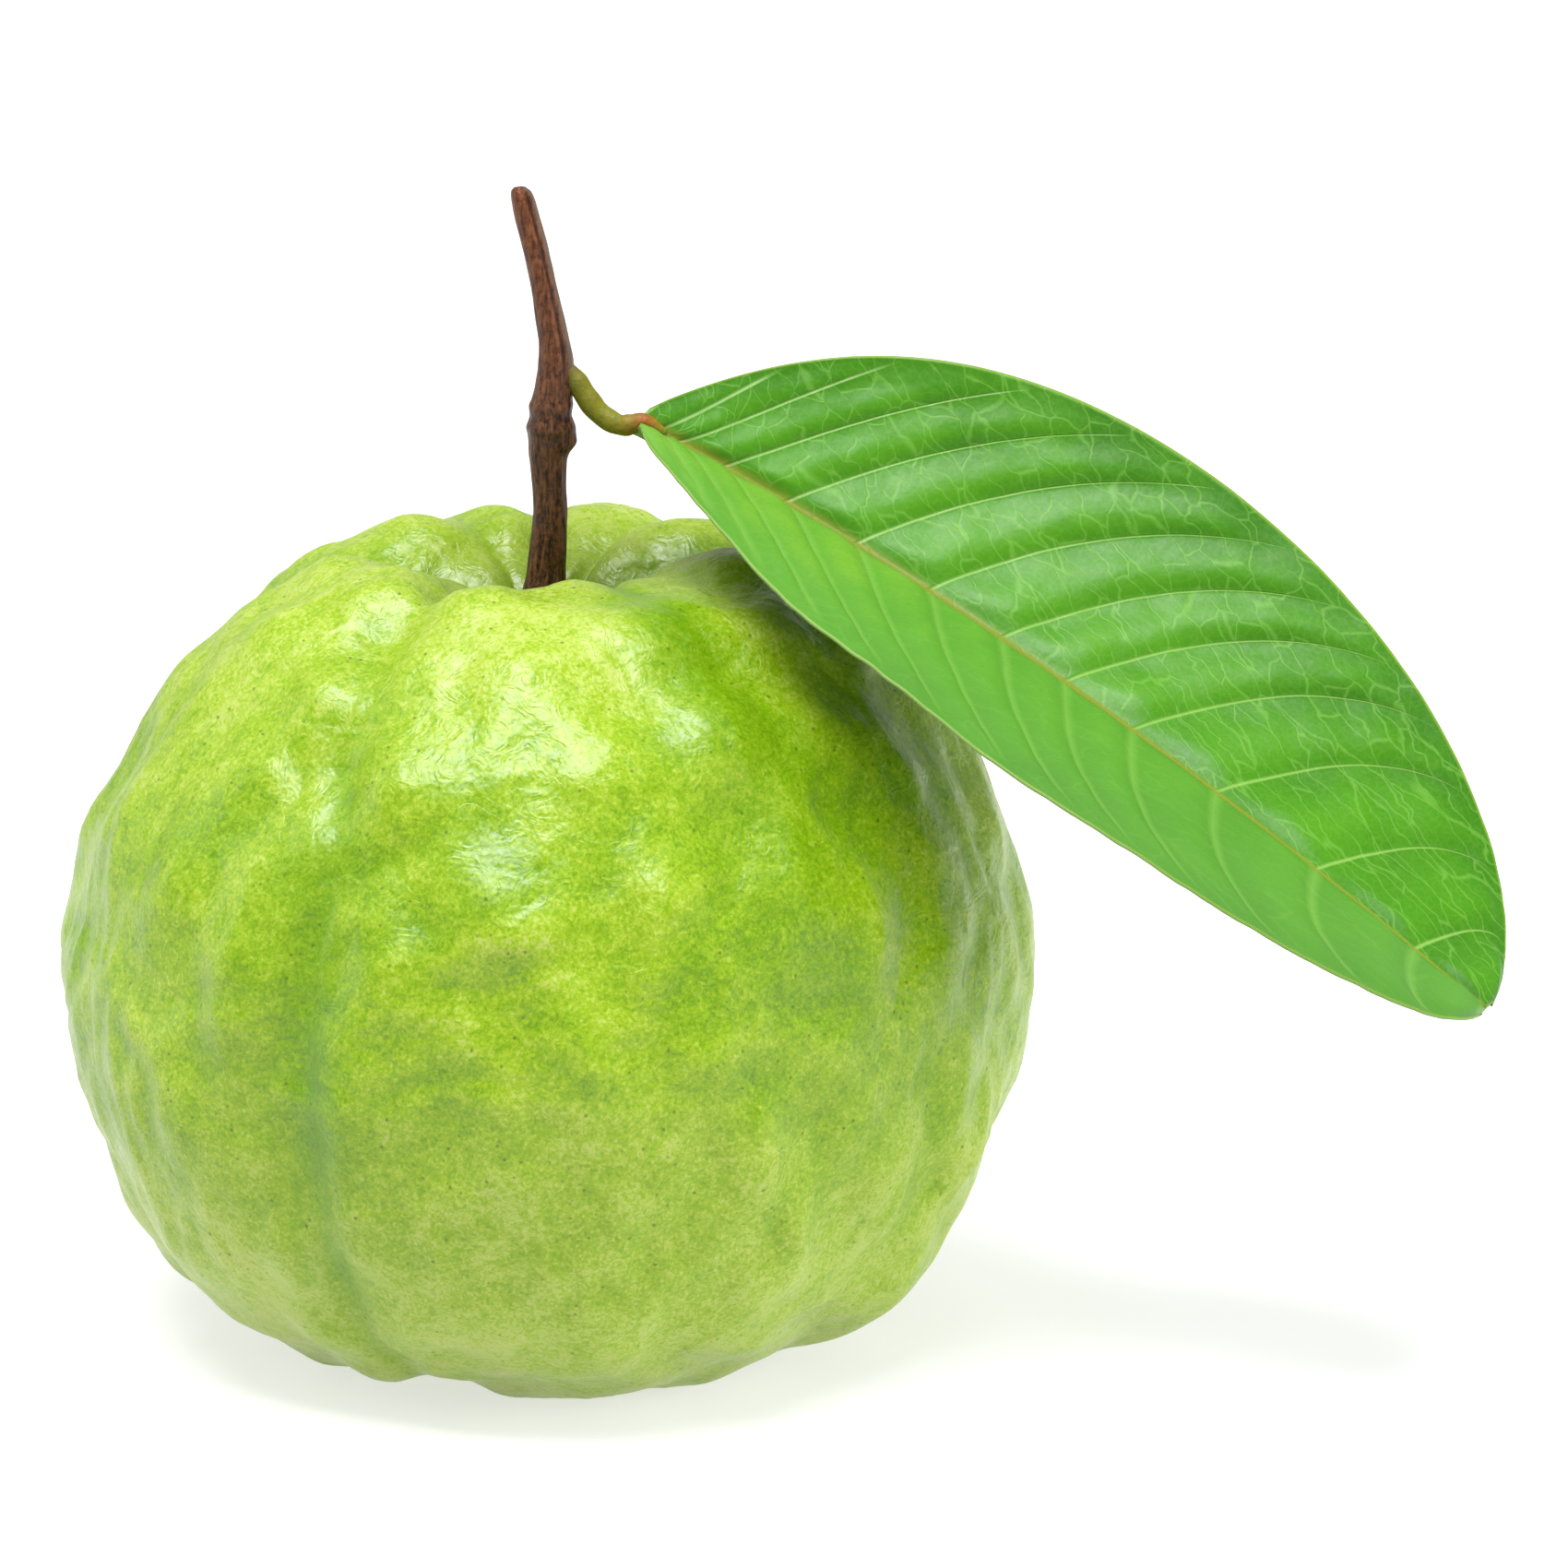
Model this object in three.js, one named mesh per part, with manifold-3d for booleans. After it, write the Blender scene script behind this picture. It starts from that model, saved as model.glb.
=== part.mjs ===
// A ripe-green guava as picked: the lobed fruit, its woody stem, one leaf on its stalk, and the dried
// calyx under the fruit. Millimetres, +Z up, standing on three small flats at z = 0.
import * as THREE from "three";
import Module from "manifold-3d";

const wasm = await Module();
wasm.setup();
const { Manifold } = wasm;

// Middle of the whole object in plan, measured from the fruit's axis
const PLAN_MIDDLE = [23.25, -0.05];

// Clear gap between two pieces that meet
const GAP = 0.3;

// Fruit: radius and height down its side, from the stem pit over the shoulder to the blossom end
const PROFILE = [
  [0, 74.4], [3.2, 74.7], [5.4, 77.5], [9, 80.2], [15, 82.8], [22, 83.3], [30.3, 79.1], [38.7, 71.3],
  [46.1, 59.5], [50.3, 45.5], [50.3, 33.5], [47.2, 21], [41.4, 10.6], [33.5, 4], [25, 1.1],
  [17.5, 1], [11, 2.8], [5, 4.6], [0, 5],
];
const FRUIT_ROWS = 42;
const FRUIT_COLUMNS = 76;

// Three low points under the fruit: angle in degrees and depth of each, then their common place and spread
const FEET = [{ angle: 284, depth: 1.42 }, { angle: 40, depth: 1.15 }, { angle: 160, depth: 1.12 }];
const FOOT = { across: 24, at: 0.8, spread: 0.065 };

// Furrows between the lobes: angles at shoulder, side and base, depths there, half widths in degrees
const FURROWS = [
  { angle: [168, 176, 182], depth: [3.2, 0.5, 1.4], width: [15, 17] },
  { angle: [120, 112, 110], depth: [0.9, 0.2, 0.8], width: [9, 14] },
  { angle: [92, 86, 84], depth: [2.4, 0.5, 1.2], width: [10, 16] },
  { angle: [58, 50, 48], depth: [1.8, 0.4, 1], width: [9, 15] },
  { angle: [16, 10, 8], depth: [2.6, 0.5, 1.2], width: [12, 16] },
  { angle: [333, 335, 330], depth: [0.6, 0.7, 1], width: [9, 8] },
  { angle: [300, 314, 310], depth: [1.2, 1.1, 0.8], width: [12, 13] },
  { angle: [236, 242, 252], depth: [2.2, 1.2, 1.1], width: [10, 8] },
];

// Broad swellings and dents: angle, height, half width round the fruit and up it, height of the swelling
const LUMPS = [
  { angle: 335, z: 8, across: 11, up: 6, rise: 1.6 },
  { angle: 348, z: 20, across: 9, up: 7, rise: -0.8 },
  { angle: 0, z: 52, across: 12, up: 9, rise: -0.6 },
  { angle: 180, z: 56, across: 12, up: 9, rise: -0.5 },
  { angle: 180, z: 33, across: 14, up: 9, rise: 0.6 },
  { angle: 197, z: 24, across: 12, up: 10, rise: -0.7 },
  { angle: 262, z: 5, across: 9, up: 6, rise: -0.5 },
  { angle: 100, z: 82.5, across: 9, up: 5, rise: 0.9 },
  { angle: 63, z: 82.5, across: 7, up: 6, rise: 0.5 },
  { angle: 30, z: 82.5, across: 7, up: 6, rise: 0.5 },
];

// Knobbly skin: waves in three directions, their phase and height
const WAVES = [
  { k: [0.33, 0.21, 0.1], phase: 0.4, rise: 0.32 },
  { k: [-0.24, 0.36, 0.14], phase: 2.1, rise: 0.3 },
  { k: [0.12, -0.42, -0.17], phase: 4, rise: 0.26 },
  { k: [0.47, 0.16, 0.29], phase: 1.2, rise: 0.17 },
  { k: [-0.38, -0.33, 0.31], phase: 5.2, rise: 0.17 },
  { k: [0.62, -0.3, 0.12], phase: 3.3, rise: 0.12 },
  { k: [0.25, 0.66, -0.2], phase: 0.9, rise: 0.12 },
];

// Stem: height, sideways place and radius of each station, from the pit to the cut tip
const STEM = [
  [72.4, -0.5, 2.35], [76.5, -0.4, 2.3], [79, -0.16, 2.22], [81.1, 0.14, 2.03], [84.3, 0.41, 1.9],
  [87.5, 0.6, 1.75], [90.3, 0.52, 1.76], [93.2, 0.42, 2], [94.8, 0.65, 2.22], [96.6, 0.75, 2.33],
  [98.5, 0.77, 2.15], [101, 1.15, 1.95], [103, 1.3, 1.8], [105.2, 1.13, 1.58], [108.1, 0.64, 1.45],
  [111.9, -0.07, 1.35], [115.7, -0.92, 1.32], [118.9, -1.68, 1.24],
  [120.5, -2.02, 1.04], [121.1, -2.15, 0.55],
];
const STEM_SIDES = 20;
const STEM_ROWS = 57;
const STEM_GROOVE = { from: 98, angle: 305, width: 24, depth: 0.3 };
const BUD_SCAR = { z: 94.8, angle: 350, across: 1.1, up: 1.1, rise: 0.6 };

// Round hole in the pit that the stem's foot stands in
const SOCKET = { radius: 2.75, floor: 72.05, top: 92, sides: 32 };

// Leaf stalk: place and radius of each station, from inside the stem to the blade
const STALK = [
  [2.1, 0, 102.3, 0.8], [2.8, -0.1, 101.8, 1], [3.5, -0.25, 100.9, 1.15], [4.4, -0.5, 99.5, 1.2],
  [5.5, -0.8, 98.1, 1.2], [6.9, -1.2, 97.1, 1.15], [7.7, -1.45, 96.8, 1.1], [8.4, -1.65, 96.75, 1.1],
];
const STALK_SIDES = 14;

// Leaf: midrib as a Bezier curve from the stalk to the tip, and the blade's half width
const MIDRIB = [[9.7, -2, 97.5], [40.4, 1.4, 80], [68.4, -24.5, 64.9], [94.6, -34.8, 44.4]];
const BLADE = { half: 28.8, narrowed: 0.11, thickness: 0.7 };
const RIB = { depth: 1.1, width: 1.3, dip: 0.35, dipWidth: 1.6 };

// The way the open leaf faces, how each half tilts from it (at the base, more to the tip, per mm out),
// and how much each narrows to the base
const FACING = [0, -0.966, 0.259];
const UPPER = { side: 1, tilt: -0.278, more: -0.7, curl: 0.018, narrowing: 0.667 };
const LOWER = { side: -1, tilt: 1.211, more: -0.075, curl: 0, narrowing: 0.15 };

// Side veins: where each leaves the midrib, how far it runs on towards the tip, and how the blade
// bulges between them, highest nearer the next vein
const VEINS = [0.001, 0.02, 0.045, 0.095, 0.165, 0.245, 0.33, 0.415, 0.49, 0.57, 0.67, 0.79, 0.91, 0.998];
const SWEEP = { reach: 0.254, straight: 0.576, start: 0.05 };
const QUILT = { height: 0.8, skew: 1.5 };
const ROWS_PER_VEIN = 3;
const HALF_COLUMNS = 11;

// Dried calyx in the blossom basin: how far out its five lobes and the notches between them reach
const CALYX = { lobes: 5, lobe: 0.902, notch: 0.932, below: 0.45, thickness: 1.1, rows: 6, columns: 60 };

function smooth(from, to, x) {
  const t = Math.min(Math.max((x - from) / (to - from), 0), 1);
  return t * t * (3 - 2 * t);
}

function turnBetween(a, b) {
  return ((((a - b + 180) % 360) + 360) % 360) - 180;
}

function bell(x) {
  return Math.exp(-x * x);
}

// Smooth curve through rows of numbers, u from 0 at the first row to 1 at the last
function through(stations, u) {
  const last = stations.length - 1;
  const s = Math.min(Math.max(u, 0), 1) * last;
  const i = Math.min(Math.floor(s), last - 1);
  const f = s - i;
  const b = stations[i];
  const c = stations[i + 1];
  return b.map((_, k) => {
    const a = i > 0 ? stations[i - 1][k] : 2 * b[k] - c[k];
    const d = i + 2 <= last ? stations[i + 2][k] : 2 * c[k] - b[k];
    const slope = c[k] - a;
    const bend = 2 * a - 5 * b[k] + 4 * c[k] - d;
    const twist = -a + 3 * b[k] - 3 * c[k] + d;
    return 0.5 * (2 * b[k] + slope * f + bend * f * f + twist * f * f * f);
  });
}

// How far the skin stands out from the smooth profile, from the stem pit at t = 0 to the blossom end at 1
function skinRise(t, angle, radius, height) {
  const top = 1 - smooth(0.3, 0.52, t);
  const base = smooth(0.62, 0.8, t);
  const side = 1 - top - base;
  let rise = 0;
  for (const furrow of FURROWS) {
    const [a, b, c] = furrow.angle;
    const [deepTop, deepSide, deepBase] = furrow.depth;
    const width = furrow.width[0] * top + furrow.width[1] * (side + base);
    const off = turnBetween(angle, a * top + b * side + c * base) / width;
    const deep = deepTop * top + deepSide * side + deepBase * base;
    rise -= deep * Math.exp(-(Math.abs(off) ** 1.6));
  }
  for (const foot of FEET) {
    const round = bell(turnBetween(angle, foot.angle) / FOOT.across);
    rise += foot.depth * round * bell((t - FOOT.at) / FOOT.spread);
  }
  for (const lump of LUMPS) {
    const across = THREE.MathUtils.degToRad(turnBetween(angle, lump.angle)) * Math.max(radius, 8);
    rise += lump.rise * bell(across / lump.across) * bell((height - lump.z) / lump.up);
  }
  const x = radius * Math.cos(THREE.MathUtils.degToRad(angle));
  const y = radius * Math.sin(THREE.MathUtils.degToRad(angle));
  for (const wave of WAVES) {
    const bent = 0.8 * Math.sin(0.09 * height + 0.11 * x + wave.phase);
    rise += wave.rise * Math.sin(wave.k[0] * x + wave.k[1] * y + wave.k[2] * height + wave.phase + bent);
  }
  const fade = smooth(0.03, 0.16, t) * (1 - smooth(0.9, 0.98, t));
  return rise * fade;
}

function skinPoint(t, angle) {
  const [radius, height] = through(PROFILE, t);
  const before = through(PROFILE, t - 0.001);
  const after = through(PROFILE, t + 0.001);
  const along = new THREE.Vector2(after[0] - before[0], after[1] - before[1]).normalize();
  const rise = skinRise(t, angle, radius, height);
  const out = radius - along.y * rise;
  const turn = THREE.MathUtils.degToRad(angle);
  return new THREE.Vector3(out * Math.cos(turn), out * Math.sin(turn), height + along.x * rise);
}

// Closed solid from rings of points between two end points, turned to face out
function ringSolid(first, rings, last) {
  const sides = rings[0].length;
  const points = [first, ...rings.flat(), last];
  const faces = [];
  const at = (i, j) => 1 + i * sides + (j % sides);
  for (let j = 0; j < sides; j += 1) {
    faces.push([0, at(0, j), at(0, j + 1)]);
    faces.push([points.length - 1, at(rings.length - 1, j + 1), at(rings.length - 1, j)]);
    for (let i = 0; i < rings.length - 1; i += 1) {
      faces.push([at(i, j), at(i + 1, j), at(i + 1, j + 1)]);
      faces.push([at(i, j), at(i + 1, j + 1), at(i, j + 1)]);
    }
  }
  return solidFrom(points, faces);
}

function solidFrom(points, faces) {
  let volume = 0;
  for (const [a, b, c] of faces) {
    volume += points[a].dot(new THREE.Vector3().crossVectors(points[b], points[c]));
  }
  const outward = volume > 0 ? faces : faces.map(([a, b, c]) => [a, c, b]);
  const mesh = new wasm.Mesh({
    numProp: 3,
    vertProperties: new Float32Array(points.flatMap((p) => p.toArray())),
    triVerts: new Uint32Array(outward.flat()),
  });
  mesh.merge();
  return new Manifold(mesh);
}

function fruitSolid() {
  const rings = [];
  for (let i = 1; i < FRUIT_ROWS; i += 1) {
    const ring = [];
    for (let j = 0; j < FRUIT_COLUMNS; j += 1) {
      ring.push(skinPoint(i / FRUIT_ROWS, (360 * j) / FRUIT_COLUMNS));
    }
    rings.push(ring);
  }
  const whole = ringSolid(skinPoint(0, 0), rings, skinPoint(1, 0));
  const stood = whole.trimByPlane([0, 0, 1], 0);
  return stood.subtract(socketSolid());
}

function socketSolid() {
  const [, stemX] = STEM[0];
  const ringAt = (z) =>
    Array.from({ length: SOCKET.sides }, (_, j) => {
      const turn = (2 * Math.PI * j) / SOCKET.sides;
      return new THREE.Vector3(stemX + SOCKET.radius * Math.cos(turn), SOCKET.radius * Math.sin(turn), z);
    });
  const low = new THREE.Vector3(stemX, 0, SOCKET.floor);
  const high = new THREE.Vector3(stemX, 0, SOCKET.top);
  return ringSolid(low, [ringAt(SOCKET.floor), ringAt(SOCKET.top)], high);
}

function stemRadius(height, angle, radius) {
  const grooved = smooth(STEM_GROOVE.from, STEM_GROOVE.from + 5, height);
  const fromGroove = turnBetween(angle, STEM_GROOVE.angle) / STEM_GROOVE.width;
  const groove = STEM_GROOVE.depth * grooved * bell(fromGroove);
  const across = THREE.MathUtils.degToRad(turnBetween(angle, BUD_SCAR.angle)) * radius;
  const scar = bell(across / BUD_SCAR.across) * bell((height - BUD_SCAR.z) / BUD_SCAR.up);
  return radius - groove + BUD_SCAR.rise * scar;
}

function stemSolid() {
  const rings = [];
  for (let i = 0; i <= STEM_ROWS; i += 1) {
    const [height, x, radius] = through(STEM, i / STEM_ROWS);
    const ring = [];
    for (let j = 0; j < STEM_SIDES; j += 1) {
      const angle = (360 * j) / STEM_SIDES;
      const turn = THREE.MathUtils.degToRad(angle);
      const out = stemRadius(height, angle, radius);
      ring.push(new THREE.Vector3(x + out * Math.cos(turn), out * Math.sin(turn), height));
    }
    rings.push(ring);
  }
  const [low, lowX] = STEM[0];
  const [high, highX] = STEM[STEM.length - 1];
  const whole = ringSolid(new THREE.Vector3(lowX, 0, low), rings, new THREE.Vector3(highX, 0, high));
  return whole.subtract(stalkSolid(GAP));
}

// The stalk, or with a margin the room that it needs in the stem
function stalkSolid(margin) {
  const rings = [];
  const rows = 2 * (STALK.length - 1);
  const ends = [];
  for (let i = 0; i <= rows; i += 1) {
    const [x, y, z, radius] = through(STALK, i / rows);
    const here = new THREE.Vector3(x, y, z);
    const before = new THREE.Vector3(...through(STALK, i / rows - 0.01));
    const after = new THREE.Vector3(...through(STALK, i / rows + 0.01));
    const along = after.sub(before).normalize();
    if (i === 0) here.addScaledVector(along, -margin);
    const across = new THREE.Vector3().crossVectors(along, new THREE.Vector3(0, 1, 0)).normalize();
    const back = new THREE.Vector3().crossVectors(along, across);
    const ring = [];
    for (let j = 0; j < STALK_SIDES; j += 1) {
      const turn = (2 * Math.PI * j) / STALK_SIDES;
      const point = here.clone();
      point.addScaledVector(across, (radius + margin) * Math.cos(turn));
      point.addScaledVector(back, (radius + margin) * Math.sin(turn));
      ring.push(point);
    }
    rings.push(ring);
    ends.push(here);
  }
  return ringSolid(ends[0], rings, ends[ends.length - 1]);
}

const midrib = new THREE.CubicBezierCurve3(...MIDRIB.map((p) => new THREE.Vector3(...p)));

function halfWidth(half, x) {
  const oval = Math.sqrt(Math.max(1 - (2 * x - 1) ** 2, 0));
  return BLADE.half * oval * (1 - half.narrowing * Math.exp(-x / BLADE.narrowed));
}

// Middle surface of one half of the blade, x along the midrib and b mm out from it
function bladePoint(half, x, b) {
  const tangent = midrib.getTangent(x);
  const facing = new THREE.Vector3(...FACING);
  const normal = facing.addScaledVector(tangent, -facing.dot(tangent)).normalize();
  const across = new THREE.Vector3().crossVectors(normal, tangent);
  const tilt = half.tilt + half.more * x;
  let out = b * Math.cos(tilt);
  let lift = b * Math.sin(tilt);
  if (half.curl !== 0) {
    out = (Math.sin(tilt + half.curl * b) - Math.sin(tilt)) / half.curl;
    lift = (Math.cos(tilt) - Math.cos(tilt + half.curl * b)) / half.curl;
  }
  return midrib.getPoint(x).addScaledVector(across, half.side * out).addScaledVector(normal, lift);
}

// Where a side vein that leaves the midrib at s stands when it is the part t of the way to the margin
function veinPoint(s, t) {
  const half = t < 0 ? LOWER : UPPER;
  const part = Math.abs(t);
  const swept = SWEEP.straight * part + (1 - SWEEP.straight) * part ** 3;
  const x = Math.min(s + SWEEP.reach * (1 - Math.exp(-s / SWEEP.start)) * (1 - s ** 3) * swept, 1);
  return bladePoint(half, x, part * halfWidth(half, x));
}

function quiltRise(s, t) {
  const k = Math.max(VEINS.findIndex((v) => v > s), 1);
  const u = (s - VEINS[k - 1]) / (VEINS[k] - VEINS[k - 1]);
  const part = Math.abs(t);
  const room = smooth(0, 0.25, part) * (1 - smooth(0.72, 1, part));
  const size = Math.min((VEINS[k] - VEINS[k - 1]) / 0.08, 1);
  return QUILT.height * size * room * Math.sin(Math.PI * u ** QUILT.skew);
}

function bladeSolid() {
  const starts = [];
  for (let k = 0; k < VEINS.length - 1; k += 1) {
    for (let i = 0; i < ROWS_PER_VEIN; i += 1) {
      starts.push(VEINS[k] + ((VEINS[k + 1] - VEINS[k]) * i) / ROWS_PER_VEIN);
    }
  }
  starts.push(VEINS[VEINS.length - 1]);
  const columns = 2 * HALF_COLUMNS;
  const grid = starts.map((s) =>
    Array.from({ length: columns + 1 }, (_, j) => veinPoint(s, j / HALF_COLUMNS - 1)),
  );
  const upper = [];
  const lower = [];
  starts.forEach((s, i) => {
    for (let j = 0; j <= columns; j += 1) {
      const t = j / HALF_COLUMNS - 1;
      const along = grid[Math.min(i + 1, starts.length - 1)][j].clone().sub(grid[Math.max(i - 1, 0)][j]);
      const across = grid[i][Math.min(j + 1, columns)].clone().sub(grid[i][Math.max(j - 1, 0)]);
      const normal = along.cross(across).normalize();
      if (normal.dot(new THREE.Vector3(...FACING)) < 0) normal.negate();
      const fromRib = Math.abs(t) * halfWidth(t < 0 ? LOWER : UPPER, Math.min(s + 0.002, 1));
      const rib = bell(fromRib / RIB.width) * (1 - 0.75 * s);
      const level = quiltRise(s, t) - RIB.dip * bell(fromRib / RIB.dipWidth);
      upper.push(grid[i][j].clone().addScaledVector(normal, level + BLADE.thickness / 2));
      lower.push(grid[i][j].clone().addScaledVector(normal, level - BLADE.thickness / 2 - RIB.depth * rib));
    }
  });
  const count = upper.length;
  const row = columns + 1;
  const faces = [];
  for (let i = 0; i < starts.length - 1; i += 1) {
    for (let j = 0; j < columns; j += 1) {
      const a = i * row + j;
      const [b, c, d] = [a + 1, a + row + 1, a + row];
      faces.push([a, b, c], [a, c, d]);
      faces.push([count + a, count + c, count + b], [count + a, count + d, count + c]);
    }
  }
  const rim = [];
  for (let j = 0; j < columns; j += 1) rim.push(j);
  for (let i = 0; i < starts.length - 1; i += 1) rim.push(i * row + columns);
  for (let j = columns; j > 0; j -= 1) rim.push((starts.length - 1) * row + j);
  for (let i = starts.length - 1; i > 0; i -= 1) rim.push(i * row);
  rim.forEach((a, i) => {
    const b = rim[(i + 1) % rim.length];
    faces.push([b, a, count + a], [b, count + a, count + b]);
  });
  return solidFrom([...upper, ...lower], faces);
}

function calyxSolid() {
  const rings = [];
  const reach = (angle) => {
    const lobe = Math.abs(Math.cos(THREE.MathUtils.degToRad((angle * CALYX.lobes) / 2))) ** 0.7;
    return CALYX.notch + (CALYX.lobe - CALYX.notch) * lobe;
  };
  const ringAt = (part, below) => {
    const ring = [];
    for (let j = 0; j < CALYX.columns; j += 1) {
      const angle = (360 * j) / CALYX.columns;
      const point = skinPoint(1 + (reach(angle) - 1) * part, angle);
      point.z -= CALYX.below + below * CALYX.thickness * (1 - 0.45 * part);
      ring.push(point);
    }
    return ring;
  };
  for (let i = 1; i <= CALYX.rows; i += 1) rings.push(ringAt(i / CALYX.rows, 0));
  for (let i = CALYX.rows; i >= 1; i -= 1) rings.push(ringAt(i / CALYX.rows, 1));
  const top = skinPoint(1, 0);
  top.z -= CALYX.below;
  const foot = top.clone();
  foot.z -= CALYX.thickness;
  return ringSolid(top, rings, foot);
}

function pieceFrom(name, solid, color, roughness) {
  const { numProp, vertProperties, triVerts } = solid.getMesh();
  const geometry = new THREE.BufferGeometry();
  const corners = new Float32Array((vertProperties.length / numProp) * 3);
  for (let i = 0; i < corners.length / 3; i += 1) {
    corners.set(vertProperties.subarray(i * numProp, i * numProp + 3), i * 3);
  }
  geometry.setAttribute("position", new THREE.BufferAttribute(corners, 3));
  geometry.setIndex(new THREE.BufferAttribute(triVerts, 1));
  geometry.computeVertexNormals();
  const piece = new THREE.Mesh(geometry, new THREE.MeshStandardMaterial({ color, roughness, metalness: 0 }));
  piece.name = name;
  return piece;
}

const guava = new THREE.Group();
guava.name = "guava";
guava.add(pieceFrom("fruit", fruitSolid(), 0x9abe31, 0.42));
guava.add(pieceFrom("calyx", calyxSolid(), 0x5a4226, 0.85));
guava.add(pieceFrom("stem", stemSolid(), 0x5e4433, 0.75));
guava.add(pieceFrom("petiole", stalkSolid(0), 0x898b24, 0.55));
guava.add(pieceFrom("leaf_blade", bladeSolid(), 0x6fae41, 0.45));
guava.position.set(-PLAN_MIDDLE[0], -PLAN_MIDDLE[1], 0);

export default guava;
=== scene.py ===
"""A whole guava with its woody stem and one leaf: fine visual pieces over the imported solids."""
import itertools
import math

import bpy
import numpy as np
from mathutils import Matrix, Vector


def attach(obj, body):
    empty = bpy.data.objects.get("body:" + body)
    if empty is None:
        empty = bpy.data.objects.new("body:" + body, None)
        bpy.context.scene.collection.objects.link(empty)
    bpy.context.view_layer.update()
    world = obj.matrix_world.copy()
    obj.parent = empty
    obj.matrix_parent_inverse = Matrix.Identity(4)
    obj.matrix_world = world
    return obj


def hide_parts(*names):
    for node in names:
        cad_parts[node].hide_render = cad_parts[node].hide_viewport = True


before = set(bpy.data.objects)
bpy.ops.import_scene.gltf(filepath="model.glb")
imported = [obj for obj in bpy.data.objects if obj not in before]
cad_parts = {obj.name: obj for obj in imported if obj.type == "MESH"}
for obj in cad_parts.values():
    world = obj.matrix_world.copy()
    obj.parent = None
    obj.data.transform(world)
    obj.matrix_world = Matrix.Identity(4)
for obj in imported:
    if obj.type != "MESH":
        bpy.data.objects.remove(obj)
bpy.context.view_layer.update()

# Scene lengths are in metres; everything below is in mm unless its comment says otherwise
MM = 0.001
IN_MM = (1 / MM, 1 / MM, 1 / MM)

# Middle of the whole object in plan, measured from the fruit's axis
PLAN_MIDDLE = (23.25, -0.05, 0.0)

# Camera as in the photo: height of view in degrees, distance, lens and the point looked at
VIEW_ELEVATION = 15.0
VIEW_DISTANCE = 750.0
VIEW_LENS, VIEW_SENSOR = 166.0, 36.0
VIEW_CENTRE = (24.6, 0.0, 58.4)

# Soft lights: name, degrees to the right of the camera, degrees up, distance and size in metres,
# power in watts, and whether a mirror image of it shows
LIGHTS = (
    ("key", -22, 73, 1.3, (0.88, 0.7), 35, True),
    ("left_side", -95, 22, 1.1, (0.4, 0.9), 2.5, True),
    ("right_side", 84, 6, 1.1, (1.0, 0.7), 17, False),
)
LIGHT_AIM = (0.0, 0.0, 0.05)
WORLD_GLOW, FLOOR_GLOW = 0.58, 0.62
FLOOR_REACH = 4.0
FLOOR_GREYS = ((0.42, 0.42, 0.42, 1), (0.46, 0.46, 0.46, 1))
WHITE = (1, 1, 1, 1)

# Share of a seen brightness that is the surface's own: the light on it is this much over full
SURFACE_SHARE = 0.56

# Smooth noise: how many slopes it draws from, what spreads its cells over them, and its gain
NOISE_SLOPES, NOISE_SPREAD, NOISE_GAIN = 4096, (73856093, 19349663, 83492791), 1.5

# Fruit: radius and height down its side, from the stem pit over the shoulder to the blossom end
PROFILE = (
    (0, 74.4), (3.2, 74.7), (5.4, 77.5), (9, 80.2), (15, 82.8), (22, 83.3), (30.3, 79.1), (38.7, 71.3),
    (46.1, 59.5), (50.3, 45.5), (50.3, 33.5), (47.2, 21), (41.4, 10.6), (33.5, 4), (25, 1.1),
    (17.5, 1), (11, 2.8), (5, 4.6), (0, 5),
)
PROFILE_STEPS = 400
PROFILE_STEP = 0.001
FRUIT_ROWS = 220
FRUIT_COLUMNS = 400

# Parts of the way down the profile where the lobes come in below the pit and fade at the blossom end
LOBES_IN, LOBES_OUT = (0.03, 0.16), (0.9, 0.98)

# Drum that the skin's patterns lie on: its radius, the way down its side, and how long its round ends are
AROUND_RADIUS, SIDE_LENGTH, DRUM_END = 46.0, 165.0, 36.0

# Three low points under the fruit: angle in degrees and depth, then their common place and spread
FEET = ((284, 1.42), (40, 1.15), (160, 1.12))
FOOT_ACROSS, FOOT_AT, FOOT_SPREAD = 24.0, 0.8, 0.065

# Furrows between the lobes: angles at shoulder, side and base, depths there, half widths in degrees,
# and how green and dark each is painted at shoulder, side and base, partly the skin's deeper green and partly
# painted shade
FURROWS = (
    ((168, 176, 182), (3.2, 0.5, 1.4), (15, 17), (0.3, 0.5, 0.2)),
    ((120, 112, 110), (0.9, 0.2, 0.8), (9, 14), (0.5, 0.8, 0.2)),
    ((92, 86, 84), (2.4, 0.5, 1.2), (10, 16), (0.3, 0.5, 0.2)),
    ((58, 50, 48), (1.8, 0.4, 1), (9, 15), (0.3, 0.6, 0.2)),
    ((16, 10, 8), (2.6, 0.5, 1.2), (12, 16), (0.5, 0.4, 0.2)),
    ((333, 335, 330), (0.6, 0.7, 1), (9, 8), (0.7, 0.1, 0)),
    ((300, 314, 310), (1.2, 1.1, 0.8), (12, 13), (1.2, 0.25, 0)),
    ((236, 242, 252), (2.2, 1.2, 1.1), (10, 8), (0.15, 0.25, 0.1)),
)

# Narrow creases, given the same way
CREASES = (
    ((240, 243.5, 250), (0.15, 0.55, 0.1), (5, 3.2), (1, 0.8, 0.6)),
    ((241, 243.8, 249), (0.04, 0.22, 0.02), (2.8, 1.8), (1, 2.1, 1)),
    ((306, 324, 330), (0.3, 0.4, 0.1), (5, 4), (0.9, 0.35, 0.1)),
    ((198, 203, 208), (0.1, 0.35, 0.3), (5, 3.5), (0.5, 0.5, 0.2)),
)
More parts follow.
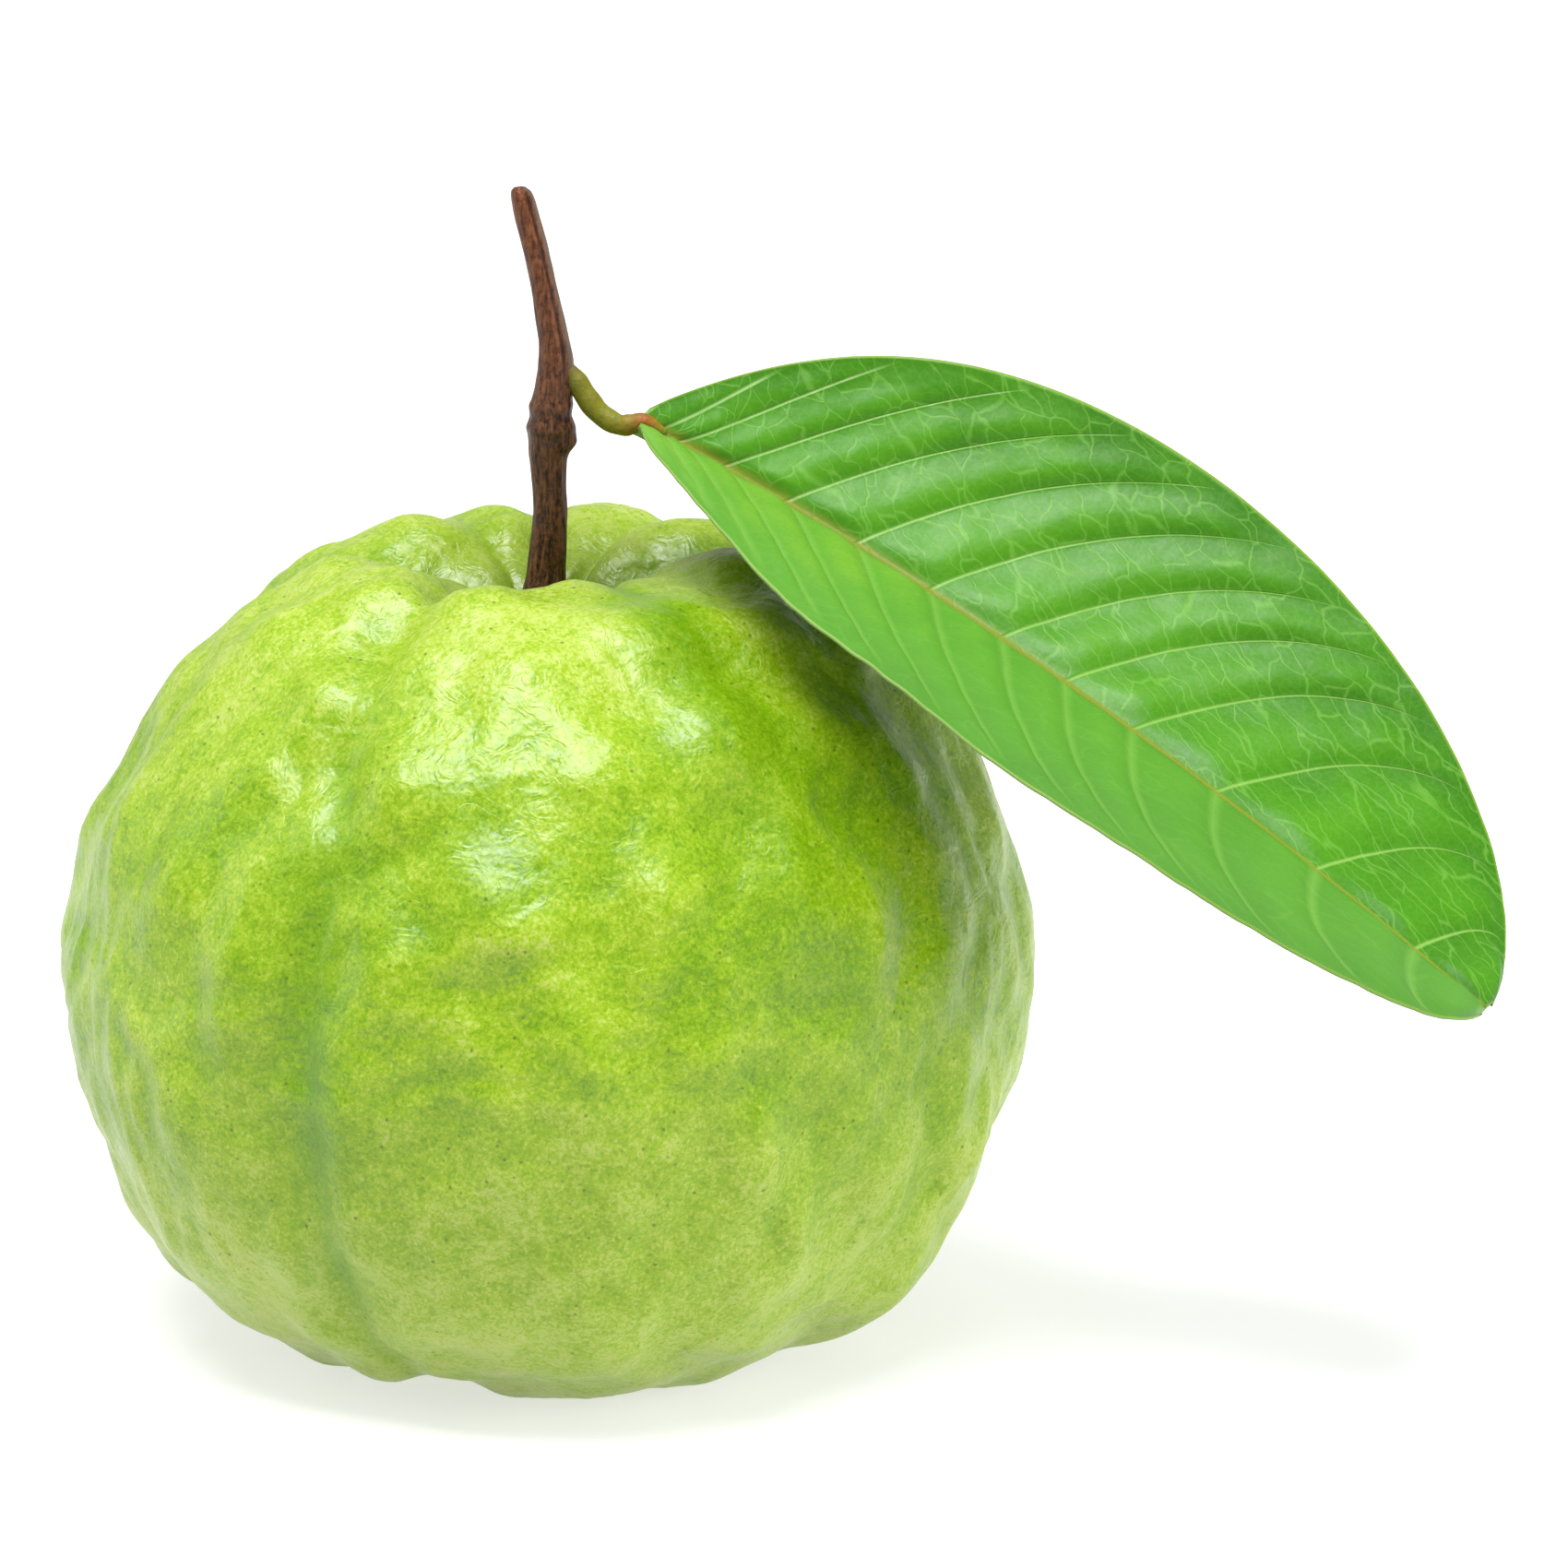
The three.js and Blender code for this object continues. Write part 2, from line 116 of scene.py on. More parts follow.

# Where a furrow goes from shoulder to side and from side to base, its section, and the sum at which its green
# and painted shade are fullest
TO_SIDE, TO_BASE = (0.3, 0.52), (0.62, 0.8)
FURROW_POWER = 1.6
FULLEST_GREEN_AND_SHADE = 1.7

# Broad swellings and dents: angle, height, half width round the fruit and up it, height of the swelling
LUMPS = (
    (335, 8, 11, 6, 1.6), (348, 20, 9, 7, -0.8), (197, 24, 12, 10, -0.7), (262, 5, 9, 6, -0.5),
    (100, 82.5, 9, 5, 0.9), (63, 82.5, 7, 6, 0.5), (30, 82.5, 7, 6, 0.5), (0, 52, 12, 9, -0.6),
    (180, 56, 12, 9, -0.5), (180, 33, 14, 9, 0.6),
)
LEAST_LUMP_RADIUS = 8

# Knobbly skin: waves in three directions, their phase and height, and how they bend
WAVES = (
    (0.33, 0.21, 0.1, 0.4, 0.32), (-0.24, 0.36, 0.14, 2.1, 0.3), (0.12, -0.42, -0.17, 4, 0.26),
    (0.47, 0.16, 0.29, 1.2, 0.17), (-0.38, -0.33, 0.31, 5.2, 0.17), (0.62, -0.3, 0.12, 3.3, 0.12),
    (0.25, 0.66, -0.2, 0.9, 0.12),
)
WAVE_BEND, WAVE_BEND_UP, WAVE_BEND_ACROSS = 0.8, 0.09, 0.11

# Fine relief of the skin: size and reach of the warp that bends it, then the size of the knobs,
# of the wrinkles down the sides and of the folds across the front, coarse and fine
WARP_SIZE, WARP_REACH, WARP_SEEDS = 13, 4, (11, 12, 13)
KNOB_HEIGHT, KNOB_SIZE, KNOB_SEED = 0.42, 7.5, 21
WRINKLE_HEIGHT, WRINKLE_SIZE, WRINKLE_SEED, WRINKLE_POWER = 0.3, (4.6, 4.6, 26), 31, 0.8
FINE_WRINKLE, FINE_WRINKLE_SIZE, FINE_WRINKLE_SEED = 0.5, (2.1, 2.1, 13), 32
FOLD_HEIGHT, FOLD_SIZE, FOLD_SEED = 0.6, (9, 9, 5), 41
FINE_FOLD, FINE_FOLD_SIZE, FINE_FOLD_SEED = 0.6, (4.6, 4.6, 2.4), 42
FULL_RELIEF = 0.5

# Share of the relief that is left in the pit, and what the smoother places take off knobs and wrinkles
PIT_RELIEF = 0.25
CALM_KNOBS_OFF, BASE_KNOBS_OFF, SHOULDER_WRINKLES_OFF, BASE_WRINKLES_OFF = 0.5, 0.4, 0.75, 0.7

# Patches with their own relief: angle and half width in degrees, height and half height
FOLDED_PATCH = (272, 34, 52, 17)
CALM_PATCH = (268, 40, 70, 8)

# Height where the shoulder starts and is full, and the same for the base as the way down the side
SHOULDER_RISE, BASE_DOWN = (64, 76), (96, 112)

# Stem: height, sideways place and radius of each station, from the pit to the cut tip
STEM = (
    (72.4, -0.5, 2.35), (76.5, -0.4, 2.3), (79, -0.16, 2.22), (81.1, 0.14, 2.03), (84.3, 0.41, 1.9),
    (87.5, 0.6, 1.75), (90.3, 0.52, 1.76), (93.2, 0.42, 2), (94.8, 0.65, 2.22), (96.6, 0.75, 2.33),
    (98.5, 0.77, 2.15), (101, 1.15, 1.95), (103, 1.3, 1.8), (105.2, 1.13, 1.58), (108.1, 0.64, 1.45),
    (111.9, -0.07, 1.35), (115.7, -0.92, 1.32), (118.9, -1.68, 1.24),
    (120.5, -2.02, 1.04), (121.1, -2.15, 0.55),
)
STEM_ROWS = 420
STEM_SIDES = 72
GROOVE_FROM, GROOVE_FULL, GROOVE_ANGLE, GROOVE_WIDTH, GROOVE_DEPTH = 98.0, 103.0, 305.0, 24.0, 0.3
SCAR_HEIGHT, SCAR_ANGLE, SCAR_ACROSS, SCAR_UP, SCAR_RISE = 94.8, 350.0, 1.1, 1.1, 0.6
CUT_DIP = 0.35

# Bark: height, size and seed of its ridges and flakes on a rod of one radius, then the rings of the
# node with the height, half width and rise of each
BARK_RADIUS = 2
RIDGE_HEIGHT, RIDGE_SIZE, RIDGE_SEED = 0.09, (0.55, 0.55, 7), 51
FINE_RIDGE, FINE_RIDGE_SIZE, FINE_RIDGE_SEED = 0.6, (0.3, 0.3, 3), 52
FLAKE_HEIGHT, FLAKE_SIZE, FLAKE_SEED = 0.05, (0.9, 0.9, 1.8), 53
NODE_RINGS = ((96.2, 0.5, 0.14), (98.6, 0.45, 0.112), (97.4, 0.5, -0.126))

# Leaf stalk: place and radius of each station, from inside the stem to the blade
STALK = (
    (2.1, 0, 102.3, 0.8), (2.8, -0.1, 101.8, 1), (3.5, -0.25, 100.9, 1.15), (4.4, -0.5, 99.5, 1.2),
    (5.5, -0.8, 98.1, 1.2), (6.9, -1.2, 97.1, 1.15), (8.1, -1.6, 96.75, 1.1), (9, -1.85, 96.9, 1.1),
    (10.4, -2.05, 97.1, 0.95), (12.4, -1.9, 96.0, 0.5),
)
STALK_ROWS = 90
STALK_SIDES = 40
STALK_STEP = 0.01

# The stalk's channel in degrees and as a share of its radius, then its oval section and uneven girth
CHANNEL_ANGLE, CHANNEL_WIDTH, CHANNEL_DEPTH = 215.0, 26.0, 0.2
STALK_OVAL, STALK_UNEVEN, STALK_WAVES = 0.04, 0.03, 37

# Leaf: midrib as a Bezier curve from the stalk to the tip, and the blade's half width
MIDRIB = ((9.7, -2, 97.5), (40.4, 1.4, 80), (68.4, -24.5, 64.9), (94.6, -34.8, 44.4))
MIDRIB_STEPS = 200
BLADE_HALF, BLADE_NARROWED = 28.8, 0.11
BLADE_THICKNESS, MARGIN_THICKNESS, MARGIN_WIDTH = 0.55, 0.3, 3

# Midrib: its ridge below and its dip above, how wide they are and how much they lose to the tip
RIB_DEPTH, RIB_WIDTH, RIB_TAPER = 1.0, 0.8, 0.75
RIB_DIP, RIB_DIP_WIDTH, RIB_DIP_TAPER = 0.4, 1.1, 0.5

# The way the open leaf faces, how each half tilts from it (at the base, more to the tip, per mm out),
# and how much each narrows to the base
FACING = (0, -0.966, 0.259)
UPPER = (1, -0.278, -0.7, 0.018, 0.667)
LOWER = (-1, 1.211, -0.075, 0.0, 0.15)

# Side veins: where each leaves the midrib, and how far it runs on towards the tip
VEINS = (0.001, 0.02, 0.045, 0.095, 0.165, 0.245, 0.33, 0.415, 0.49, 0.57, 0.67, 0.79, 0.91, 0.998)
SWEEP_REACH, SWEEP_STRAIGHT, SWEEP_START = 0.254, 0.576, 0.05
VEIN_SLANT = 0.75
VEIN_RISE, VEIN_WIDTH, VEIN_FADES = 0.3, 0.3, (0.6, 0.95)
ROWS_PER_VEIN = 14
HALF_COLUMNS = 50

# Quilting between them: its height, how far its crest is pushed to the tip, the gap from which it is
# full, and where it comes in at the midrib and goes out at the margin
QUILT_HEIGHT, QUILT_SKEW, QUILT_GAP = 0.6, 1.5, 0.08
QUILT_IN, QUILT_OUT = (0, 0.12), (0.72, 1)

# Puckers of the blade and the wave of its margin, which differs from half to half
PUCKER_HEIGHT, PUCKER_SIZE, PUCKER_SEED, PUCKER_IN = 0.16, 5.5, 61, (0.02, 0.2)
MARGIN_WAVE, MARGIN_WAVE_SIZE, MARGIN_WAVE_SEED, HALVES_APART = 0.5, 17, 62, 3

# Plan that the rungs between veins are drawn on: stretch outwards, shift and width of each panel,
# and the shift of the lower half
PANEL_STRETCH, PANEL_SHIFT, PANEL_WIDTH, LOWER_SHIFT = 1.2, 3, 8.0, 200

# Dried calyx in the blossom basin: reach of lobes and notches down the profile, then its thickness,
# how far it lies below the skin, and what its rim loses
CALYX_LOBES, CALYX_LOBE, CALYX_NOTCH, CALYX_ROUND = 5, 0.902, 0.932, 0.7
CALYX_THICKNESS, CALYX_INSET, CALYX_TAPER = 1.1, 0.45, 0.3
CALYX_ROWS, CALYX_COLUMNS = 30, 200

# Creases between the sepals, the hollow at its middle, and its crinkles
SEPAL_CREASE, SEPAL_FROM, SEPAL_TAPER = 0.5, (0.15, 0.6), 0.4
STYLE_HOLLOW, STYLE_WIDTH = 0.45, 0.2
CRINKLE_HEIGHT, CRINKLE_SIZE, CRINKLE_SEED, CRINKLE_LEAST = 0.26, 0.9, 71, 0.3

# Skin colours from 0 to 255, the first ones from the deepest to the palest
SKIN_SHADES = (
    (0.0, (104, 152, 0)), (0.25, (126, 170, 0)), (0.48, (147, 186, 10)), (0.7, (168, 199, 38)),
    (0.95, (192, 212, 98)),
)
# The furrow colour is partly the skin's deeper green and partly painted shade
FURROW_GREEN_AND_SHADOW, SPECK_SHADE, PIT_PAINTED_SHADOW = (92, 148, 0), (84, 100, 16), (112, 138, 14)

# Place of plain skin on that scale, and how much each pattern moves it; the furrow shares paint shade in the
# furrows along with their deeper green
SKIN_TONE = 0.42
PATCH_SWAY, MOTTLE_SWAY, FINE_SWAY, GRAIN_SWAY = 0.5, 0.95, 1.2, 0.95
# The relief share paints raised skin paler and dips darker: partly wax bloom, partly painted sheen and shade
WISP_PALES, RELIEF_BLOOM_SHEEN_AND_SHADE, FURROW_SHADOW_DARKENS = 0.16, 0.2, 0.35
# Painted light: a paler shoulder where the top light falls and a paler blossom end lit by the bright floor
TOP_PAINTED_LIGHT, BASE_PAINTED_LIGHT = 0.26, 0.3
# The pit colour and the pit share paint shade in the stem pit
FURROW_GREEN_AND_SHADOW_SHOWS, SPECK_SHOWS, PIT_SHADOW_SHOWS = 0.55, 0.7, 0.8
DENT_BUMP, PEEL_BUMP, FOLD_BUMP = 0.5, 0.07, 0.03

# Leaf colours, the first ones from the deepest to the palest
LEAF_SHADES = (
    (0.1, (52, 120, 0)), (0.4, (70, 142, 0)), (0.62, (82, 154, 6)), (0.85, (116, 172, 12)),
)
# The lower half's colour is painted sheen of sky light on that half
LOWER_HALF_SHEEN, UNDERSIDE_SHADE = (102, 162, 66), (160, 200, 130)
NET_SHADE, RUNG_SHADE, VEIN_SHADE = (140, 196, 80), (138, 196, 84), (150, 200, 92)
MARGIN_SHADE, RIB_SHADE = (150, 180, 70), (132, 146, 40)

# Place of plain leaf on that scale, and how much each pattern moves it; the stalk-end share is painted sheen
# on the lower half
LEAF_TONE = 0.2
# The bulge share paints crests of the quilting paler and its troughs darker, as painted sheen and shade
BLOTCH_PALES, SPECKLE_SWAY, BULGE_SHEEN_AND_SHADE = 0.6, 0.28, 0.2
# The outward share is painted sheen near the midrib, fading towards the margin
MIDRIB_SHEEN_FADES, ALONG_DARKENS, STALK_END_SHEEN = 0.16, 0.14, 0.3

# How strongly each part of the leaf takes its own colour, the lower half its painted sheen, and how far the
# veins sink
LOWER_HALF_SHEEN_SHOWS, UNDERSIDE_SHOWS, NET_SHOWS, RUNG_SHOWS = 0.45, 0.42, 0.08, 0.3
VEIN_SHOWS, VEIN_SHOWS_LESS, MARGIN_SHOWS, RIB_SHOWS = 0.85, 0.55, 0.6, 0.9
VEIN_SINKS, RUNG_SINKS, LEAF_GRAIN = -0.09, 0.012, 0.04

# How far the warp pushes the finest veins, half widths of side veins and midrib from first to last,
# how much wider and softer they look on the lower half, and how solid the midrib is
LEAF_WARP = (2.4, 2.4, 0)
VEIN_HALVES, RIB_HALVES = (0.26, 0.13), (0.85, 0.28)
LOWER_WIDER, LOWER_SOFTER, RIB_SOLID = 0.6, 0.7, 1.3

# Bark colours from the foot to the tip, then those of the pale strip, the seam and the cut
BARK_SHADES = (
    (0.0, (18, 5, 0)), (0.2, (44, 20, 0)), (0.38, (44, 20, 6)), (0.5, (56, 32, 26)),
    (0.62, (76, 34, 18)), (1.0, (108, 48, 20)),
)
BARK_DARK, BARK_PALE = (22, 10, 6), (172, 112, 64)
STRIP_SHADES = ((80, 66, 56), (132, 112, 98))
SEAM_SHADE, CUT_SHADE = (30, 16, 10), (140, 116, 80)
BARK_DARKENS, BARK_PALES, STRIP_SHOWS, SEAM_SHOWS = 0.62, 0.45, 0.8, 0.7
FIBRE_SHARE, FLECK_SHARE = 0.62, 0.42

# Heights of the bark's colours and of the strip's start, and where strip and seam are, in degrees
BARK_SPAN, STRIP_FROM = (76, 122), (98, 104)
BARK_FRONT, STRIP_ANGLE, SEAM_ANGLE = 330, 24, -22

# Colours of the leaf stalk from the stem to the blade, of its flecks and channel, and of the calyx
STALK_SHADES = (
    (0.0, (92, 70, 40)), (0.16, (118, 114, 12)), (0.6, (132, 134, 10)), (0.82, (146, 118, 12)),
    (0.88, (166, 88, 20)), (1.0, (128, 138, 22)),
)
STALK_FLECK_SHADE, CHANNEL_SHADE = (84, 86, 6), (60, 88, 0)
STALK_FLECKS_SHOW, CHANNEL_SHOWS = 0.45, 0.55
CALYX_SHADES = ((0.3, (52, 34, 18)), (0.5, (104, 76, 40)), (0.7, (164, 134, 84)))


def smooth(start, end, x):
    t = np.clip((x - start) / (end - start), 0, 1)
    return t * t * (3 - 2 * t)


def turn_between(a, b):
    return (a - b + 180) % 360 - 180


def bell(x):
    return np.exp(-x * x)


def through(stations, u):
    """Smooth curve through rows of numbers, u from 0 at the first row to 1 at the last."""
    rows = np.array(stations, float)
    last = len(rows) - 1
    s = np.clip(u, 0, 1) * last
    i = np.minimum(s.astype(int), last - 1)
    f = (s - i)[:, None]
    before = np.where((i == 0)[:, None], 2 * rows[0] - rows[1], rows[np.maximum(i - 1, 0)])
    beyond = np.where((i + 2 > last)[:, None], 2 * rows[last] - rows[last - 1], rows[np.minimum(i + 2, last)])
    slope = rows[i + 1] - before
    bend = 2 * before - 5 * rows[i] + 4 * rows[i + 1] - beyond
    twist = -before + 3 * rows[i] - 3 * rows[i + 1] + beyond
    return 0.5 * (2 * rows[i] + slope * f + bend * f**2 + twist * f**3)


def noise(points, seed):
    """Smooth noise from about -1 to 1 at each point."""
    directions = np.random.default_rng(seed).normal(size=(NOISE_SLOPES, 3))
    directions /= np.linalg.norm(directions, axis=1)[:, None]
    cell = np.floor(points).astype(np.int64)
    inside = points - cell
    fade = inside**3 * (inside * (inside * 6 - 15) + 10)
    total = np.zeros(len(points))
    for corner in itertools.product((0, 1), repeat=3):
        at = cell + corner
        key = np.bitwise_xor.reduce(at * NOISE_SPREAD, axis=1)
        slope = (directions[key % NOISE_SLOPES] * (inside - corner)).sum(1)
        weight = np.prod(np.where(np.array(corner) == 1, fade, 1 - fade), axis=1)
        total += slope * weight
    return total * NOISE_GAIN


def fractal(points, octaves, seed, keep=0.5):
    """Noise and its finer octaves, each keeping this share of the one before."""
    total = np.zeros(len(points))
    for i in range(octaves):
        total += noise(points * 2**i, seed + i) * keep**i
    return total


def furrows(t, angle, rows):
    """How deep the furrows are, in mm, and how green and dark they are painted, partly the skin's deeper
    green and partly painted shade.
    """
    top = 1 - smooth(*TO_SIDE, t)
    base = smooth(*TO_BASE, t)
    side = 1 - top - base
    depth = np.zeros_like(t)
    green_and_shade = np.zeros_like(t)
    for (a, b, c), deep, wide, greens_and_shade in rows:
        off = turn_between(angle, a * top + b * side + c * base) / (wide[0] * top + wide[1] * (side + base))
        section = np.exp(-np.abs(off) ** FURROW_POWER)
        in_furrow = section * (deep[0] * top + deep[1] * side + deep[2] * base)
        depth += in_furrow
        green_and_shade += in_furrow * (greens_and_shade[0] * top + greens_and_shade[1] * side + greens_and_shade[2] * base)
    return depth, green_and_shade


def form_rise(t, angle, radius, height):
    """How far the lobes, feet, lumps and waves stand out from the smooth profile."""
    rise = -furrows(t, angle, FURROWS)[0]
    for foot_angle, foot_depth in FEET:
        round_it = bell(turn_between(angle, foot_angle) / FOOT_ACROSS)
        rise += foot_depth * round_it * bell((t - FOOT_AT) / FOOT_SPREAD)
    for lump_angle, z, across, up, out in LUMPS:
        arc = np.radians(turn_between(angle, lump_angle)) * np.maximum(radius, LEAST_LUMP_RADIUS)
        rise += out * bell(arc / across) * bell((height - z) / up)
    x = radius * np.cos(np.radians(angle))
    y = radius * np.sin(np.radians(angle))
    for kx, ky, kz, phase, out in WAVES:
        bent = WAVE_BEND * np.sin(WAVE_BEND_UP * height + WAVE_BEND_ACROSS * x + phase)
        rise += out * np.sin(kx * x + ky * y + kz * height + phase + bent)
    return rise


def skin_places(angle, down):
    """Where a point lies on the skin: round the fruit as on a drum with round ends, and mm down its side."""
    turn = np.radians(angle)
    around = AROUND_RADIUS * np.tanh(down / DRUM_END) * np.tanh(np.maximum(SIDE_LENGTH - down, 0) / DRUM_END)
    return np.stack([around * np.cos(turn), around * np.sin(turn), down], 1)


def patch(angle, height, where):
    centre, across, level, up = where
    return bell(turn_between(angle, centre) / across) * bell((height - level) / up)


def fine_relief(angle, down, height):
    """Small knobs everywhere, wrinkles down the sides and folds across the front, in mm and as -1 to 1."""
    place = skin_places(angle, down)
    bent = place + np.stack([noise(place / WARP_SIZE, seed) for seed in WARP_SEEDS], 1) * WARP_REACH
    knobs = fractal(bent / KNOB_SIZE, 2, KNOB_SEED, keep=0.4)
    wrinkles = 1 - 2 * np.abs(noise(bent / WRINKLE_SIZE, WRINKLE_SEED)) ** WRINKLE_POWER
    wrinkles += FINE_WRINKLE * noise(bent / FINE_WRINKLE_SIZE, FINE_WRINKLE_SEED)
    folds = noise(bent / FOLD_SIZE, FOLD_SEED) + FINE_FOLD * noise(bent / FINE_FOLD_SIZE, FINE_FOLD_SEED)
    front = patch(angle, height, FOLDED_PATCH)
    calm = patch(angle, height, CALM_PATCH)
    shoulder = smooth(*SHOULDER_RISE, height)
    base = smooth(*BASE_DOWN, down)
    wrinkled = (1 - front) * (1 - SHOULDER_WRINKLES_OFF * shoulder) * (1 - BASE_WRINKLES_OFF * base)
    amount = KNOB_HEIGHT * knobs * (1 - CALM_KNOBS_OFF * calm) * (1 - BASE_KNOBS_OFF * base)
    amount += WRINKLE_HEIGHT * wrinkled * (wrinkles - 0.5)
    amount += FOLD_HEIGHT * front * folds
    return amount, np.clip(amount / FULL_RELIEF, -1, 1)


def skin_points(t, angle, fine=True):
    """Points of the skin, their relief from -1 to 1, and how far down the side they are."""
    radius, height = through(PROFILE, t).T
    along = through(PROFILE, t + PROFILE_STEP) - through(PROFILE, t - PROFILE_STEP)
    along /= np.maximum(np.linalg.norm(along, axis=1), 1e-9)[:, None]
    stops = np.linspace(0, 1, PROFILE_STEPS)
    pieces = np.linalg.norm(np.diff(through(PROFILE, stops), axis=0), axis=1)
    down = np.interp(t, stops, np.concatenate([[0], np.cumsum(pieces)]))
    fade = smooth(*LOBES_IN, t) * (1 - smooth(*LOBES_OUT, t))
    rise = form_rise(t, angle, radius, height) * fade
    relief = np.zeros_like(t)
    if fine:
        extra, relief = fine_relief(angle, down, height)
        rise += extra * (PIT_RELIEF + (1 - PIT_RELIEF) * fade) - furrows(t, angle, CREASES)[0] * fade
    out = radius - along[:, 1] * rise
    turn = np.radians(angle)
    points = np.stack([out * np.cos(turn), out * np.sin(turn), height + along[:, 0] * rise], 1)
    return points, relief, down


def make_piece(name, points, faces, node):
    """A smooth-shaded mesh from points in mm from the fruit's axis, standing for the CAD node."""
    mesh = bpy.data.meshes.new(name)
    place = (np.array(points, float) - PLAN_MIDDLE) * MM
    mesh.from_pydata(place.tolist(), [], faces)
    mesh.validate()
    mesh.polygons.foreach_set("use_smooth", [True] * len(mesh.polygons))
    piece = bpy.data.objects.new(name, mesh)
    bpy.context.scene.collection.objects.link(piece)
    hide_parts(node)
    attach(piece, "root")
    return piece


def add_value(piece, name, values):
    layer = piece.data.attributes.new(name, "FLOAT", "POINT")
    layer.data.foreach_set("value", np.asarray(values, np.float32).ravel())


def add_place(piece, name, values):
    layer = piece.data.attributes.new(name, "FLOAT_VECTOR", "POINT")
    layer.data.foreach_set("vector", np.asarray(values, np.float32).ravel())


def ring_faces(rings, sides):
    """Faces of rings of points between a first and a last point."""
    faces = []
    last = rings * sides + 1
    for j in range(sides):
        k = (j + 1) % sides
        faces.append((0, 1 + k, 1 + j))
        faces.append((last, last - sides + j, last - sides + k))
    for i in range(rings - 1):
        low = 1 + i * sides
        for j in range(sides):
            k = (j + 1) % sides
            faces.append((low + j, low + k, low + sides + k, low + sides + j))
    return faces


def face_out(faces, points):
    """Turns every face round if the closed mesh is inside out."""
    volume = 0.0
    for face in faces:
        a, b, c = points[face[0]], points[face[1]], points[face[2]]
        volume += float(np.dot(a, np.cross(b, c)))
    return faces if volume > 0 else [tuple(reversed(face)) for face in faces]


def make_fruit():
    inner = np.arange(1, FRUIT_ROWS) / FRUIT_ROWS
    turns = 360 * np.arange(FRUIT_COLUMNS) / FRUIT_COLUMNS
    t = np.concatenate([[0], np.repeat(inner, FRUIT_COLUMNS), [1]])
    angle = np.concatenate([[0], np.tile(turns, FRUIT_ROWS - 1), [0]])
    points, relief, down = skin_points(t, angle)
    points[:, 2] = np.maximum(points[:, 2], 0)
    faces = face_out(ring_faces(FRUIT_ROWS - 1, FRUIT_COLUMNS), points)
    piece = make_piece("fruit_skin", points, faces, "fruit")
    # Green and painted shade of the furrows and creases, for the skin's colour
    green_and_shade = furrows(t, angle, FURROWS)[1] + furrows(t, angle, CREASES)[1]
    add_value(piece, "relief", relief)
    add_value(piece, "furrow_green_and_shade", np.clip(green_and_shade / FULLEST_GREEN_AND_SHADE, 0, 1))
    add_value(piece, "down", down)
    add_place(piece, "drum", skin_places(angle, down))
    return piece


def stem_radius(height, angle, radius):
    grooved = smooth(GROOVE_FROM, GROOVE_FULL, height)
    groove = GROOVE_DEPTH * grooved * bell(turn_between(angle, GROOVE_ANGLE) / GROOVE_WIDTH)
    across = np.radians(turn_between(angle, SCAR_ANGLE)) * radius
    scar = bell(across / SCAR_ACROSS) * bell((height - SCAR_HEIGHT) / SCAR_UP)
    return radius - groove + SCAR_RISE * scar


def bark_relief(turn, height):
    place = np.stack([BARK_RADIUS * np.cos(turn), BARK_RADIUS * np.sin(turn), height], 1)
    ridges = noise(place / RIDGE_SIZE, RIDGE_SEED)
    ridges += FINE_RIDGE * noise(place / FINE_RIDGE_SIZE, FINE_RIDGE_SEED)
    bark = RIDGE_HEIGHT * ridges + FLAKE_HEIGHT * noise(place / FLAKE_SIZE, FLAKE_SEED)
    for level, half, rise in NODE_RINGS:
        bark += rise * bell((height - level) / half)
    return bark


def make_stem():
    u = np.repeat(np.arange(STEM_ROWS + 1) / STEM_ROWS, STEM_SIDES)
    angle = np.tile(360 * np.arange(STEM_SIDES) / STEM_SIDES, STEM_ROWS + 1)
    height, x, radius = through(STEM, u).T
    turn = np.radians(angle)
    out = stem_radius(height, angle, radius) + bark_relief(turn, height)
    points = np.stack([x + out * np.cos(turn), out * np.sin(turn), height], 1)
    first = np.array([[STEM[0][1], 0, STEM[0][0]]])
    last = np.array([[STEM[-1][1], 0, STEM[-1][0] - CUT_DIP]])
    points = np.concatenate([first, points, last])
    faces = face_out(ring_faces(STEM_ROWS + 1, STEM_SIDES), points)
    piece = make_piece("stem_twig", points, faces, "stem")
    cut = np.zeros(len(points))
    cut[-1] = 1
    add_value(piece, "cut", cut)
    add_value(piece, "angle", np.concatenate([[0], turn_between(angle, BARK_FRONT), [0]]))
    return piece


def make_stalk():
    steps = np.arange(STALK_ROWS + 1) / STALK_ROWS
    station = through(STALK, steps)
    along = through(STALK, steps + STALK_STEP)[:, :3] - through(STALK, steps - STALK_STEP)[:, :3]
    along /= np.linalg.norm(along, axis=1)[:, None]
    across = np.cross(along, (0, 1, 0))
    across /= np.linalg.norm(across, axis=1)[:, None]
    back = np.cross(along, across)
    turn = 2 * np.pi * np.arange(STALK_SIDES) / STALK_SIDES
    channel = bell(turn_between(np.degrees(turn), CHANNEL_ANGLE) / CHANNEL_WIDTH)
    section = STALK_OVAL * np.sin(2 * turn) - CHANNEL_DEPTH * channel
    uneven = STALK_UNEVEN * np.sin(steps * STALK_WAVES)
    out = station[:, 3:4] * (1 + section[None] + uneven[:, None])
    rings = station[:, None, :3] + out[..., None] * (
        across[:, None] * np.cos(turn)[None, :, None] + back[:, None] * np.sin(turn)[None, :, None]
    )
    points = np.concatenate([station[:1, :3], rings.reshape(-1, 3), station[-1:, :3]])
    faces = face_out(ring_faces(STALK_ROWS + 1, STALK_SIDES), points)
    piece = make_piece("leaf_stalk", points, faces, "petiole")
    add_value(piece, "far", np.concatenate([[0], np.repeat(steps, STALK_SIDES), [1]]))
    add_value(piece, "channel", np.concatenate([[0], np.tile(channel, STALK_ROWS + 1), [0]]))
    return piece


